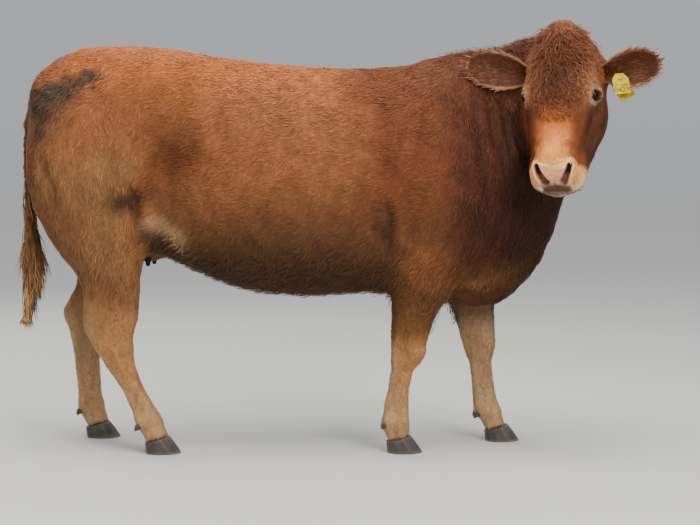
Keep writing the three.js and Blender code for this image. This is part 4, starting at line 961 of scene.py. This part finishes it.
horn_material, tree, shader = material("hoof horn", 0.48)
marks = node(tree, "Attribute", attribute_name="marks")
where = node(tree, "TexCoord")
stretch = node(tree, "Mapping")
stretch.inputs["Scale"].default_value = (60, 60, 420)
grain = node(tree, "TexNoise", Scale=1.0, Detail=4.0)
raised = node(tree, "Bump", Strength=0.35, Distance=0.001)
tree.links.new(where.outputs["Object"], stretch.inputs["Vector"])
tree.links.new(stretch.outputs["Vector"], grain.inputs["Vector"])
tree.links.new(grain.outputs["Fac"], raised.inputs["Height"])
tree.links.new(raised.outputs["Normal"], shader.inputs["Normal"])
tree.links.new(marks.outputs["Color"], shader.inputs["Base Color"])
for leg in LEGS:
    for kind in ("claw", "dewclaw"):
        for place in ("inner", "outer"):
            hoof_horn(f"{leg}_{kind}_{place}")

# ------------------------------------------------------------------ ear tag
# A flexible yellow plastic tag in two leaves is riveted through the left ear. The leaves are
# moulded satin and scuffed, and the front one carries plain printed figures.
tag_material, tree, shader = material("tag plastic", 0.50, Specular_IOR_Level=0.2)
where = node(tree, "TexCoord")
scuffs = node(tree, "TexNoise", Scale=45.0, Detail=5.0, Roughness=0.7)
tone = node(tree, "ValToRGB")
tone.color_ramp.elements[0].position, tone.color_ramp.elements[1].position = 0.30, 0.62
tone.color_ramp.elements[0].color = (*linear((150, 124, 4)), 1)
tone.color_ramp.elements[1].color = (*linear((204, 178, 10)), 1)
dents = node(tree, "Bump", Strength=0.25, Distance=0.001)
tree.links.new(where.outputs["Object"], scuffs.inputs["Vector"])
tree.links.new(scuffs.outputs["Fac"], tone.inputs["Fac"])
tree.links.new(tone.outputs["Color"], shader.inputs["Base Color"])
tree.links.new(scuffs.outputs["Fac"], dents.inputs["Height"])
tree.links.new(dents.outputs["Normal"], shader.inputs["Normal"])
for leaf in ("ear_tag_front", "ear_tag_back"):
    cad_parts[leaf].data.materials.clear()
    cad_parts[leaf].data.materials.append(tag_material)

# The figures are printed ink on the widest flat of the front leaf that faces ahead.
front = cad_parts["ear_tag_front"].data
flat = max((face for face in front.polygons if face.normal.y < 0), key=lambda face: face.area)
leaf_out = np.array(flat.normal)
leaf_up = unit(np.array((0, 0, 1)) - leaf_out[2] * leaf_out)
leaf_right = np.cross(leaf_up, leaf_out)
on_leaf = np.abs((places(front) - np.array(flat.center)) @ leaf_out) < 0.0003
leaf_points = places(front)[on_leaf]
lowest = (leaf_points @ leaf_up).min()
leaf_middle = ((leaf_points @ leaf_right).min() + (leaf_points @ leaf_right).max()) / 2
FIGURES = (("0427", 0.0195, 0.009), ("61 0358", 0.0090, 0.033))
figures = []
for text, height, above in FIGURES:
    bpy.ops.object.select_all(action="DESELECT")
    bpy.ops.object.text_add()
    figure = bpy.context.object
    figure.data.body = text
    figure.data.size = height * 1.35
    figure.data.align_x = "CENTER"
    figure.data.extrude = 0.00025
    figure.data.resolution_u = 3
    bpy.ops.object.convert(target="MESH")
    x, y, z = places(figure.data).T
    leaf_face = leaf_out * (np.array(flat.center) @ leaf_out)
    put(figure.data, leaf_face + leaf_right * leaf_middle + leaf_up * lowest
        + np.outer(x, leaf_right) + np.outer(y + above, leaf_up) + np.outer(z + 0.0001, leaf_out))
    figures.append(figure)
figures = joined("tag_figures", figures)
ink, tree, shader = material("tag ink", 0.55)
wear = node(tree, "TexNoise", Scale=400.0, Detail=3.0)
tone = node(tree, "ValToRGB")
where = node(tree, "TexCoord")
tone.color_ramp.elements[0].position, tone.color_ramp.elements[1].position = 0.35, 0.70
tone.color_ramp.elements[0].color = (*linear((14, 13, 10)), 1)
tone.color_ramp.elements[1].color = (*linear((40, 34, 14)), 1)
tree.links.new(where.outputs["Object"], wear.inputs["Vector"])
tree.links.new(wear.outputs["Fac"], tone.inputs["Fac"])
tree.links.new(tone.outputs["Color"], shader.inputs["Base Color"])
figures.data.materials.clear()
figures.data.materials.append(ink)
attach(figures, "root")

# ------------------------------------------------------------------ coat
# The coat is locks of hair, each a thin closed sliver rooted in the hide and lying along the
# body: back and down over trunk, down the neck and legs, out along the ears.
MOST_LOCKS = 171000
PATCH = 0.003

corners = np.empty(len(skin.data.loops), np.int32)
skin.data.loops.foreach_get("vertex_index", corners)
corners = corners.reshape(-1, 3)
layout = np.empty(len(skin.data.loops) * 2)
skin.data.uv_layers["OFBake"].data.foreach_get("uv", layout)
layout = layout.reshape(-1, 3, 2)
triangles = skin_points[corners]
cross = np.cross(triangles[:, 1] - triangles[:, 0], triangles[:, 2] - triangles[:, 0])
area = np.linalg.norm(cross, axis=1) / 2


def parts(points, on_face, ear):
    """How far each place belongs to each part of the animal."""
    body = on_body(points)
    share = {"head": on_face, "ears": np.abs(ear)}
    left = (1 - share["head"]) * (1 - share["ears"])
    share["tail"] = left * (body[:, 0] < -1.08) * (body[:, 2] < 1.22)
    left = left - share["tail"]
    share["legs"] = left * (1 - rising(body[:, 2], 0.48, 0.68))
    share["neck"] = left * rising(body[:, 0], 0.28, 0.5) * (1 - share["legs"])
    share["trunk"] = np.clip(left - share["legs"] - share["neck"], 0, 1)
    return share


def bare(points, on_face):
    head = on_head(points)
    is_bare = (head[:, 0] > 0.455) & (np.abs(head[:, 1]) < 0.055)
    is_bare &= (head[:, 2] < 0.052) & (head[:, 2] > -0.060)
    is_bare |= (head[:, 0] > 0.45) & (from_nostril(head)[0] < 0.017)
    is_bare |= (np.abs(head[:, 1]) < 0.05) & (nearest_on(LIP_LINE, head[:, [0, 2]])[0] < 0.012)
    for side in SIDES:
        outward, corner, brow = eye_axes(side)
        off = head - on_head([eye_centre[side]])[0]
        ring = np.hypot(off @ corner / LID_WIDE, off @ brow / LID_HIGH)
        is_bare |= (ring < 1.3) & (off @ outward > 0)
    teat = (from_teat(points) < 1.4 * TEAT_HALF) & (points[:, 2] < 0.75) & (points[:, 2] > 0.55)
    return (is_bare & (on_face > 0.5)) | teat


def lie(points, outward, share, ear, seed):
    """The way the hair lies at each place, along the skin."""
    body, head = on_body(points), on_head(points)
    x, z = body[:, 0], body[:, 2]
    flow = np.tile(np.array((-1.0, 0.0, -0.28)), (len(points), 1))
    down = np.maximum(rising(x, 0.22, 0.48) * 0.75, (1 - rising(z, 0.62, 0.92)) * 0.5)
    thigh = rising(-x, 0.62, 0.85) * (1 - rising(z, 1.12, 1.28))
    down = np.maximum(np.maximum(down, 0.85 * thigh), share["legs"])
    flow[:, 2] -= 2.4 * down
    flow[:, 0] += 0.62 * down
    near_spine = 1 - rising(np.abs(body[:, 1]), 0.06, 0.2)
    flow[:, 1] += np.sign(body[:, 1]) * 0.5 * rising(z, 1.25, 1.33) * near_spine
    flow += share["tail"][:, None] * (np.array((0, 0, -1)) - flow)
    face = np.zeros_like(head)
    face[:, 0] = np.where(head[:, 0] > 0.215, 1.0, 0.55)
    face[:, 1] = 0.5 * np.tanh(head[:, 1] / 0.05)
    face[:, 2] = -0.6 * rising(np.abs(head[:, 1]), 0.06, 0.1)
    flow += share["head"][:, None] * (face @ np.array(HEAD_TURN).T - flow)
    for side in SIDES:
        is_ear = ear == SIDES[side]
        _, beside, lean, _, wide = ear_place(head[is_ear], side)
        ear_flow = lean + np.outer(0.35 * beside * np.abs(beside) ** 2, wide)
        flow[is_ear] = ear_flow @ np.array(HEAD_TURN).T
    flow -= outward * (flow * outward).sum(1)[:, None]
    flow /= np.maximum(np.linalg.norm(flow, axis=1), 1e-6)[:, None]
    turn = 0.30 * drift(points, 0.07, seed) + 0.22 * drift(points, 0.022, seed + 1)
    aside = np.cross(outward, flow)
    return flow * np.cos(turn)[:, None] + aside * np.sin(turn)[:, None]


def rooted(density, count, seed):
    """Roots over the hide, each with what the hide is like there."""
    pick = np.random.default_rng(seed)
    total = np.cumsum(area * density)
    at = np.searchsorted(total, (np.arange(count) + pick.random(count)) / count * total[-1])
    at = np.minimum(at, len(area) - 1)
    a, b = pick.random(count), pick.random(count)
    over = a + b > 1
    a[over], b[over] = 1 - a[over], 1 - b[over]
    weight = np.stack([1 - a - b, a, b], 1)
    place = (triangles[at] * weight[:, :, None]).sum(1)
    outward = (skin_out[corners[at]] * weight[:, :, None]).sum(1)
    outward /= np.linalg.norm(outward, axis=1)[:, None]
    on_face = (skin_face[corners[at]] * weight).sum(1)
    return {"place": place, "out": outward, "layout": (layout[at] * weight[:, :, None]).sum(1),
            "face": on_face, "ear": skin_ear[corners[at, 0]]}


def hair_mesh(name, path, side, width, thick, root, colour, tone):
    """Locks as one mesh: each runs from a point in the hide, through rings of three, to its tip."""
    count, rings = path.shape[0], path.shape[1] - 2
    per_lock = 3 * rings + 2
    outward = root["out"]
    points = np.empty((count, per_lock, 3))
    shade = np.empty((count, per_lock, 3))
    way = np.empty((count, per_lock, 3))
    points[:, 0], points[:, -1] = path[:, 0], path[:, -1]
    shade[:, 0], shade[:, -1] = colour * (tone * 0.72)[:, None], colour * (tone * 1.16)[:, None]
    way[:, 0], way[:, -1] = outward, outward
    for ring in range(rings):
        girth = math.sin(math.pi * (0.30 + 0.62 * ring / rings))
        run = path[:, ring + 2] - path[:, ring]
        run /= np.linalg.norm(run, axis=1)[:, None]
        aside = side - run * (side * run).sum(1)[:, None]
        aside /= np.linalg.norm(aside, axis=1)[:, None]
        rise = np.cross(run, aside)
        wide = aside * (width * girth)[:, None]
        deep = rise * (thick * girth)[:, None]
        first = 1 + 3 * ring
        points[:, first] = path[:, ring + 1] - wide - 0.4 * deep
        points[:, first + 1] = path[:, ring + 1] + deep
        points[:, first + 2] = path[:, ring + 1] + wide - 0.4 * deep
        for k, lean in ((0, -aside), (1, rise), (2, aside)):
            way[:, first + k] = outward + 0.38 * lean
        ring_tone = tone * (0.80 + 0.36 * (ring + 1) / (rings + 1))
        shade[:, first:first + 3] = (colour * ring_tone[:, None])[:, None]
    one = [(0, 1 + (k + 1) % 3, 1 + k) for k in range(3)]
    for ring in range(rings - 1):
        for k in range(3):
            a, b = 1 + 3 * ring + k, 1 + 3 * ring + (k + 1) % 3
            one += [(b, a + 3, a), (b + 3, a + 3, b)]
    last = 1 + 3 * (rings - 1)
    one += [(last + (k + 1) % 3, per_lock - 1, last + k) for k in range(3)]
    one = np.array(one)[:, ::-1]
    corner = (one[None] + (np.arange(count) * per_lock)[:, None, None]).reshape(-1)
    mesh = bpy.data.meshes.new(name)
    mesh.vertices.add(count * per_lock)
    mesh.vertices.foreach_set("co", points.astype(np.float32).ravel())
    mesh.loops.add(len(corner))
    mesh.loops.foreach_set("vertex_index", corner.astype(np.int32))
    mesh.polygons.add(len(corner) // 3)
    mesh.polygons.foreach_set("loop_start", np.arange(0, len(corner), 3, dtype=np.int32))
    mesh.update(calc_edges=True)
    mesh.polygons.foreach_set("use_smooth", np.ones(len(corner) // 3, bool))
    along = np.concatenate([[0], np.repeat(np.arange(rings) + 1, 3), [rings + 1]]) / (rings + 1)
    beside = np.concatenate([[0], np.tile((-0.5, 0.0, 0.5), rings), [0]])
    spot = np.stack([beside, along - 0.5], 1) * PATCH
    uv_points = np.clip(root["layout"][:, None] + spot[None], 0.0005, 0.9995)
    uv = mesh.uv_layers.new(name="OFBake")
    uv.data.foreach_set("uv", uv_points.reshape(-1, 2)[corner].astype(np.float32).ravel())
    piece = bpy.data.objects.new(name, mesh)
    bpy.context.scene.collection.objects.link(piece)
    paint(piece, np.clip(shade.reshape(-1, 3), 0, 1))
    way = way.reshape(-1, 3)
    way /= np.linalg.norm(way, axis=1)[:, None]
    mesh.normals_split_custom_set_from_vertices(way)
    piece.data.materials.append(coat_material)
    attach(piece, "root")
    return piece


def at_roots(root, wanted):
    return {key: value[wanted] for key, value in root.items()}


coat_material = hide_material("coat", 0.62, 0.10, 0.15)
middle = triangles.mean(1)
middle_face, middle_ear = skin_face[corners].mean(1), skin_ear[corners[:, 0]]
share = parts(middle, middle_face, middle_ear)
thick_coat = 20.0 * share["trunk"] + 22.0 * share["neck"] + 26.0 * share["legs"] + 60.0 * share["head"] \
    + 55.0 * share["ears"] + 40.0 * share["tail"]
thick_coat[bare(middle, middle_face)] = 0
root = rooted(thick_coat, MOST_LOCKS, 11)
root = at_roots(root, ~bare(root["place"], root["face"]))
share = parts(root["place"], root["face"], root["ear"])
body, head = on_body(root["place"]), on_head(root["place"])
length = 0.026 * share["trunk"] + 0.032 * share["neck"] + 0.015 * share["legs"] + 0.013 * share["head"] \
    + 0.010 * share["ears"] + 0.022 * share["tail"]
length += 0.010 * (1 - rising(body[:, 2], 0.64, 0.74)) * share["trunk"]
pick = np.random.default_rng(12)
length *= pick.uniform(0.75, 1.25, len(length))
width = np.minimum(0.0006 + length * 0.042, 0.0018) * pick.uniform(0.8, 1.2, len(length))
lift = length * (0.13 + 0.05 * drift(root["place"], 0.05, 13) - 0.07 * share["ears"] - 0.04 * share["head"])
lift *= pick.uniform(0.6, 1.3, len(length))
along = lie(root["place"], root["out"], share, root["ear"], 14)
aside = np.cross(root["out"], along)
sway = length * pick.normal(0, 0.10, len(length))
path = np.empty((len(length), 3, 3))
path[:, 0] = root["place"] - root["out"] * 0.0010
path[:, 1] = root["place"] + along * (length * 0.40)[:, None] + root["out"] * (lift * 0.95)[:, None] \
    + aside * (sway * 0.4)[:, None]
path[:, 2] = root["place"] + along * length[:, None] + root["out"] * lift[:, None] + aside * sway[:, None]
tint = hide_colour(root["place"], root["out"], root["face"], root["ear"])
streaks = drift(head * (1, 3, 3), 0.05, 17) * share["head"] \
    + drift(root["place"], 0.011, 16) * (1 - share["head"])
tone = pick.uniform(0.80, 1.18, len(length)) * (1 + 0.11 * drift(root["place"], 0.035, 15) + 0.14 * streaks)
part_of = {"coat_legs_fore": share["legs"] * (body[:, 0] > -0.3),
           "coat_legs_hind": share["legs"] * (body[:, 0] <= -0.3)}
part_of["coat_head"] = share["head"]
part_of["coat_ears"] = share["ears"]
part_of["coat_tail"] = share["tail"]
part_of["coat_neck"] = share["neck"]
for name, half in (("right", body[:, 1] <= 0), ("left", body[:, 1] > 0)):
    part_of["coat_loin_" + name] = share["trunk"] * half * (body[:, 0] > -0.35)
    part_of["coat_rump_" + name] = share["trunk"] * half * (body[:, 0] <= -0.35)
names = list(part_of)
chosen = np.argmax(np.stack([part_of[name] for name in names]), 0)
for number, name in enumerate(names):
    mine = chosen == number
    hair_mesh(name, path[mine], aside[mine], width[mine], width[mine] * 0.5, at_roots(root, mine),
              tint[mine], tone[mine])

# ------------------------------------------------------------------ long hair of the head
# The winter coat is long and curly on brow and poll. Wavy locks part at the middle of the brow
# and fall over it, others stand on the crest behind, and short ones fringe eyes and ears.


def wavy(root, along, length, lift, waves, swing, rings, pick, rise_end=1.0):
    """Paths of wavy locks from their roots, and the way across each."""
    aside = np.cross(root["out"], along)
    turn = pick.uniform(0, 6.28, len(length))
    path = np.empty((len(length), rings + 2, 3))
    for step in range(rings + 2):
        run = step / (rings + 1)
        sway = swing * (np.sin(6.28 * waves * run + turn) - np.sin(turn)) * min(1.0, 3 * run)
        rise = lift * (math.sin(min(1.0, 1.6 * run) * 1.57) * (1 - run) + rise_end * run)
        rise = rise + 0.35 * swing * np.cos(6.28 * waves * run + turn) * run
        path[:, step] = root["place"] + along * (length * run)[:, None] + aside * sway[:, None] \
            + root["out"] * (rise - 0.0010)[:, None]
    return path, aside


def combed(root, way, spread, pick):
    """A way over the skin at each root, turned by an uneven angle."""
    way = way - root["out"] * (way * root["out"]).sum(1)[:, None]
    way /= np.maximum(np.linalg.norm(way, axis=1), 1e-6)[:, None]
    aside = np.cross(root["out"], way)
    turn = spread * (0.7 * drift(root["place"], 0.045, 41) + pick.normal(0, 0.5, len(way)))
    return way * np.cos(turn)[:, None] + aside * np.sin(turn)[:, None]


def tint_of(root):
    return hide_colour(root["place"], root["out"], root["face"], root["ear"])


def all_long(metres):
    """The same length for every lock."""
    return lambda root: np.full(len(root["face"]), metres)


def lock_set(name, chance, count, seed, way_of, spread, length_of, lift_of, waves, swing, half_width, rings,
             tones=(0.7, 1.18), colour_of=None, rise_end=1.0):
    """One kind of long locks: where they are rooted, which way they are combed and how long they are."""
    root = rooted(chance, count, seed)
    pick = np.random.default_rng(seed + 1)
    along = combed(root, way_of(root), spread, pick)
    length = length_of(root) * pick.uniform(0.6, 1.25, count)
    lift = length * lift_of(root) * pick.uniform(0.5, 1.5, count)
    path, aside = wavy(root, along, length, lift, pick.uniform(*waves, count), swing, rings, pick, rise_end)
    tint = tint_of(root) if colour_of is None else colour_of(root, tint_of(root))
    width = half_width * pick.uniform(0.7, 1.25, count)
    return hair_mesh(name, path, aside, width, width * 0.55, root, tint, pick.uniform(*tones, count))


PARTING = np.array((0.020, -0.012))
middle_head = on_head(middle)
middle_out = cross / np.maximum(2 * area, 1e-12)[:, None]
middle_body = on_body(middle)
face_front = rising((middle_out @ np.array(HEAD_TURN))[:, 2], -0.2, 0.3)
near_eye = [blob(middle_head, on_head([eye_centre[side]])[0], (0.045, 0.05, 0.045)) for side in SIDES]
away_from_eye = 1 - np.max(near_eye, 0)
hem = 0.300 - 0.055 * (middle_head[:, 1] / 0.075) ** 2


def from_parting(root):
    head = on_head(root["place"])
    way = np.zeros_like(head)
    way[:, :2] = head[:, :2] - PARTING
    way[:, 0] = np.maximum(way[:, 0], -0.5 * np.abs(way[:, 1])) + 0.02
    way[:, 1] *= 1.0 - 0.75 * rising(head[:, 0], 0.06, 0.14)
    return way @ np.array(HEAD_TURN).T


def brow_length(root):
    head = on_head(root["place"])
    length = 0.056 - 0.030 * rising(head[:, 0], 0.13, 0.24) - 0.016 * rising(np.abs(head[:, 1]), 0.055, 0.085)
    return length


brow = middle_face * face_front * away_from_eye * (1 - rising(middle_head[:, 0], hem - 0.03, hem))
brow_middle = brow * np.exp(-(middle_head[:, 1] / 0.068) ** 4)
brow_middle = brow_middle * rising(middle_head[:, 0], -0.05, 0.0)
lock_set("curls_brow", brow_middle, 4500, 21, from_parting, 0.75, brow_length, lambda root: 0.26,
         (0.7, 1.6), 0.0060, 0.0014, 4, (0.45, 1.22))
brow_side = brow * (1 - np.exp(-(middle_head[:, 1] / 0.070) ** 4)) * rising(middle_head[:, 0], -0.03, 0.03)
lock_set("curls_brow_side", brow_side, 2400, 25, from_parting, 0.85, all_long(0.024),
         lambda root: 0.20, (0.5, 1.1), 0.0030, 0.0014, 3, (0.80, 1.35))


def off_parting(root):
    """Hair of the crest is combed up to a peak a little left of the middle."""
    head = on_head(root["place"])
    way = np.zeros_like(head)
    way[:, 0] = -0.8
    way[:, 1] = 0.25 - 4.0 * head[:, 1]
    way[:, 2] = 0.15
    return way @ np.array(HEAD_TURN).T


crest = (1 - np.abs(middle_ear)) * (middle_head[:, 2] > 0.02) * (1 - rising(middle_head[:, 0], 0.01, 0.04)) \
    * np.sqrt(blob(middle_head, (-0.065, 0, 0.08), (0.075, 0.080, 0.110)))
lock_set("tuft_poll", crest, 3900, 27, off_parting, 0.45, all_long(0.036),
         lambda root: 0.16, (0.4, 1.0), 0.0045, 0.0014, 4, (0.60, 1.30))

# Dark lashes stand out from the rim of each upper lid.
LASHES, LASH_LENGTH = 46, 0.017
layout_at = np.zeros((len(skin_points), 2))
layout_at[corners.reshape(-1)] = layout.reshape(-1, 2)
pick = np.random.default_rng(61)
lash_path, lash_aside, lash_out, lash_layout = [], [], [], []
for side in SIDES:
    outward, corner, brow = eye_axes(side)
    centre = on_head([eye_centre[side]])[0]
    angle = np.radians(np.linspace(14, 166, LASHES))
    wide = 1.10 * LID_WIDE * np.cos(angle)
    high = 1.10 * LID_HIGH * np.sin(angle) * (1 - 0.22 * np.cos(angle) ** 2)
    ball = np.sqrt(np.maximum(EYE_RADIUS ** 2 - wide ** 2 - high ** 2, 0.0036 ** 2)) + 0.0012
    foot = centre + np.outer(wide, corner) + np.outer(high, brow) + np.outer(ball, outward)
    long = LASH_LENGTH * pick.uniform(0.7, 1.1, LASHES)
    lean = np.outer(0.35 * np.cos(angle) + pick.normal(0, 0.08, LASHES), corner) + 0.8 * outward
    steps = [foot + (lean * run + brow * (0.15 * run + 0.35 * run ** 2)) * long[:, None]
             for run in (0, 0.35, 0.7, 1.0)]
    lash_path.append(np.stack([from_head(step) for step in steps], 1))
    lash_aside.append(np.tile(corner @ np.array(HEAD_TURN).T, (LASHES, 1)))
    lash_out.append(np.tile(outward @ np.array(HEAD_TURN).T, (LASHES, 1)))
    nearest = [np.argmin(((skin_points - place) ** 2).sum(1)) for place in from_head(foot)]
    lash_layout.append(layout_at[nearest])
lash_root = {"out": np.concatenate(lash_out), "layout": np.concatenate(lash_layout)}
every_lash = 2 * LASHES
hair_mesh("lashes", np.concatenate(lash_path), np.concatenate(lash_aside), np.full(every_lash, 0.0005),
          np.full(every_lash, 0.0004), lash_root, np.tile(linear(LID_DARK), (every_lash, 1)),
          np.full(every_lash, 0.7))

# Stiff dark hair stands along the crest of the neck behind the poll, thinner towards the withers.
crest_line = blob(middle_body, (0.60, -0.10, 1.44), (0.10, 0.09, 0.06)) \
    + 0.45 * rising(middle_body[:, 0], 0.25, 0.5) * (1 - middle_face) \
    * np.exp(-((middle_body[:, 1] + 0.02 + 0.2 * (middle_body[:, 0] - 0.2)) / 0.05) ** 2) \
    * rising(middle_out[:, 2], 0.6, 0.9)
crest_line *= (middle_ear[:] == 0) * (1 - middle_face) * rising(middle_out[:, 2], 0.1, 0.5)


def up_and_back(root):
    return np.tile(np.array((-0.9, 0.15, 0.5)), (len(root["face"]), 1))


def darker_tips(root, tint):
    ahead = on_body(root["place"])[:, 0]
    dark = np.random.default_rng(51).random(len(tint)) < 0.12 * rising(ahead, 0.45, 0.55)
    tint = tint.copy()
    tint[dark] = linear((52, 32, 24))
    return tint


lock_set("crest_neck", crest_line, 1500, 29, up_and_back, 0.6,
         lambda root: 0.022 + 0.008 * rising(on_body(root["place"])[:, 0], 0.35, 0.6), lambda root: 0.50,
         (0.2, 0.6), 0.003, 0.0013, 3, (0.6, 1.15), darker_tips)

# Inside the ears grow long pale-tipped hairs from the root outwards, and a fringe edges the rim.
inner_share, rim_share = np.zeros(len(middle)), np.zeros(len(middle))
for side in SIDES:
    is_ear = middle_ear == SIDES[side]
    along, beside, lean, facing, wide = ear_place(middle_head, side)
    inner = ((middle_out @ np.array(HEAD_TURN)) @ facing) > 0.1
    inner_share += is_ear * inner * (along > 0.05) * (1 - 0.6 * rising(along, 0.6, 0.95))
    rim_share += is_ear * (along > 0.12) * (rising(np.abs(beside), 0.86, 0.97) + rising(along, 0.93, 0.99))


def in_ear(root):
    head = on_head(root["place"])
    way = np.zeros_like(head)
    for side in SIDES:
        mine = root["ear"] == SIDES[side]
        _, beside, lean, _, wide = ear_place(head, side)
        way[mine] = (lean + np.outer(0.35 * beside, wide))[mine]
    return way @ np.array(HEAD_TURN).T


def off_ear(root):
    head = on_head(root["place"])
    way = np.zeros_like(head)
    for side in SIDES:
        mine = root["ear"] == SIDES[side]
        along, beside, lean, _, wide = ear_place(head, side)
        out = np.outer(np.sign(beside) * (1 - rising(along, 0.85, 1.0)), wide)
        way[mine] = (lean + 0.7 * out)[mine]
    return way @ np.array(HEAD_TURN).T


def pale_some(root, tint):
    pale = np.random.default_rng(52).random(len(tint))[:, None] ** 2
    return tint + (linear((150, 118, 88)) - tint) * 0.45 * pale


lock_set("hair_in_ears", inner_share, 2200, 33, in_ear, 0.22, all_long(0.032),
         lambda root: 0.045, (0.2, 0.6), 0.002, 0.0010, 3, (0.75, 1.2), pale_some)
lock_set("fringe_of_ears", rim_share, 2200, 35, off_ear, 0.35, all_long(0.007),
         lambda root: 0.04, (0.1, 0.4), 0.0010, 0.0009, 2, (0.95, 1.25))

# ------------------------------------------------------------------ long hair of the body
# The tail ends in a switch of long wavy hair and is fuzzy above it. Longer hair also hangs at
# the flank, under the belly and along the brisket.


def straight_down(root):
    return np.tile(np.array((0.0, 0.0, -1.0)), (len(root["face"]), 1)) + 0.05 * root["out"]


def cream_tips(root, tint):
    pale = np.random.default_rng(53).random(len(tint))
    low = 1 - rising(on_body(root["place"])[:, 2], 0.50, 0.78)
    share = np.clip(0.25 + 0.75 * low, 0, 1) * rising(pale, 0.2, 0.6)
    return tint + (linear(TAIL_CREAM) - tint) * share[:, None]


tail_aside = on_body([(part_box("tail_switch")[0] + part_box("tail_switch")[1]) / 2])[0][1]
on_tail = (middle_body[:, 0] < -1.06) * (np.abs(middle_body[:, 1] - tail_aside) < 0.07)
is_switch = on_tail * (middle_body[:, 0] < -1.09) * (1 - rising(middle_body[:, 2], 0.80, 0.98))


def switch_length(root):
    """Hair of the switch ends at one level, well above the floor."""
    return np.minimum(0.110, np.maximum(0.02, on_body(root["place"])[:, 2] - 0.43))


lock_set("tail_switch_hair", is_switch, 1500, 37, straight_down, 0.16, switch_length, lambda root: 0.08,
         (0.6, 1.4), 0.006, 0.0017, 5, (0.7, 1.25), cream_tips)
is_dock = on_tail * rising(middle_body[:, 2], 0.82, 0.95) * rising(-middle_out[:, 0], 0.0, 0.5)
lock_set("tail_fuzz", is_dock, 1500, 39, straight_down, 0.30, all_long(0.028),
         lambda root: 0.16, (0.3, 0.9), 0.003, 0.0013, 3, (0.75, 1.2))
low_edge = (1 - rising(middle_body[:, 2], 0.62, 0.76)) * (middle_body[:, 2] > 0.45) \
    * rising(-middle_out[:, 2], 0.0, 0.5) \
    * (middle_body[:, 0] > -0.68) * (middle_body[:, 0] < 0.40)
flank_edge = 2.5 * blob(middle_body[:, [0, 2]], (-0.60, 0.735), (0.10, 0.03)) \
    * (np.abs(middle_body[:, 1]) > 0.1)


def back_and_down(root):
    return np.tile(np.array((-0.8, 0.0, -0.8)), (len(root["face"]), 1))


lock_set("hair_under_belly", low_edge + flank_edge, 4200, 43, back_and_down, 0.40,
         all_long(0.038), lambda root: 0.30, (0.2, 0.7), 0.003, 0.0015, 2, (0.7, 1.18))
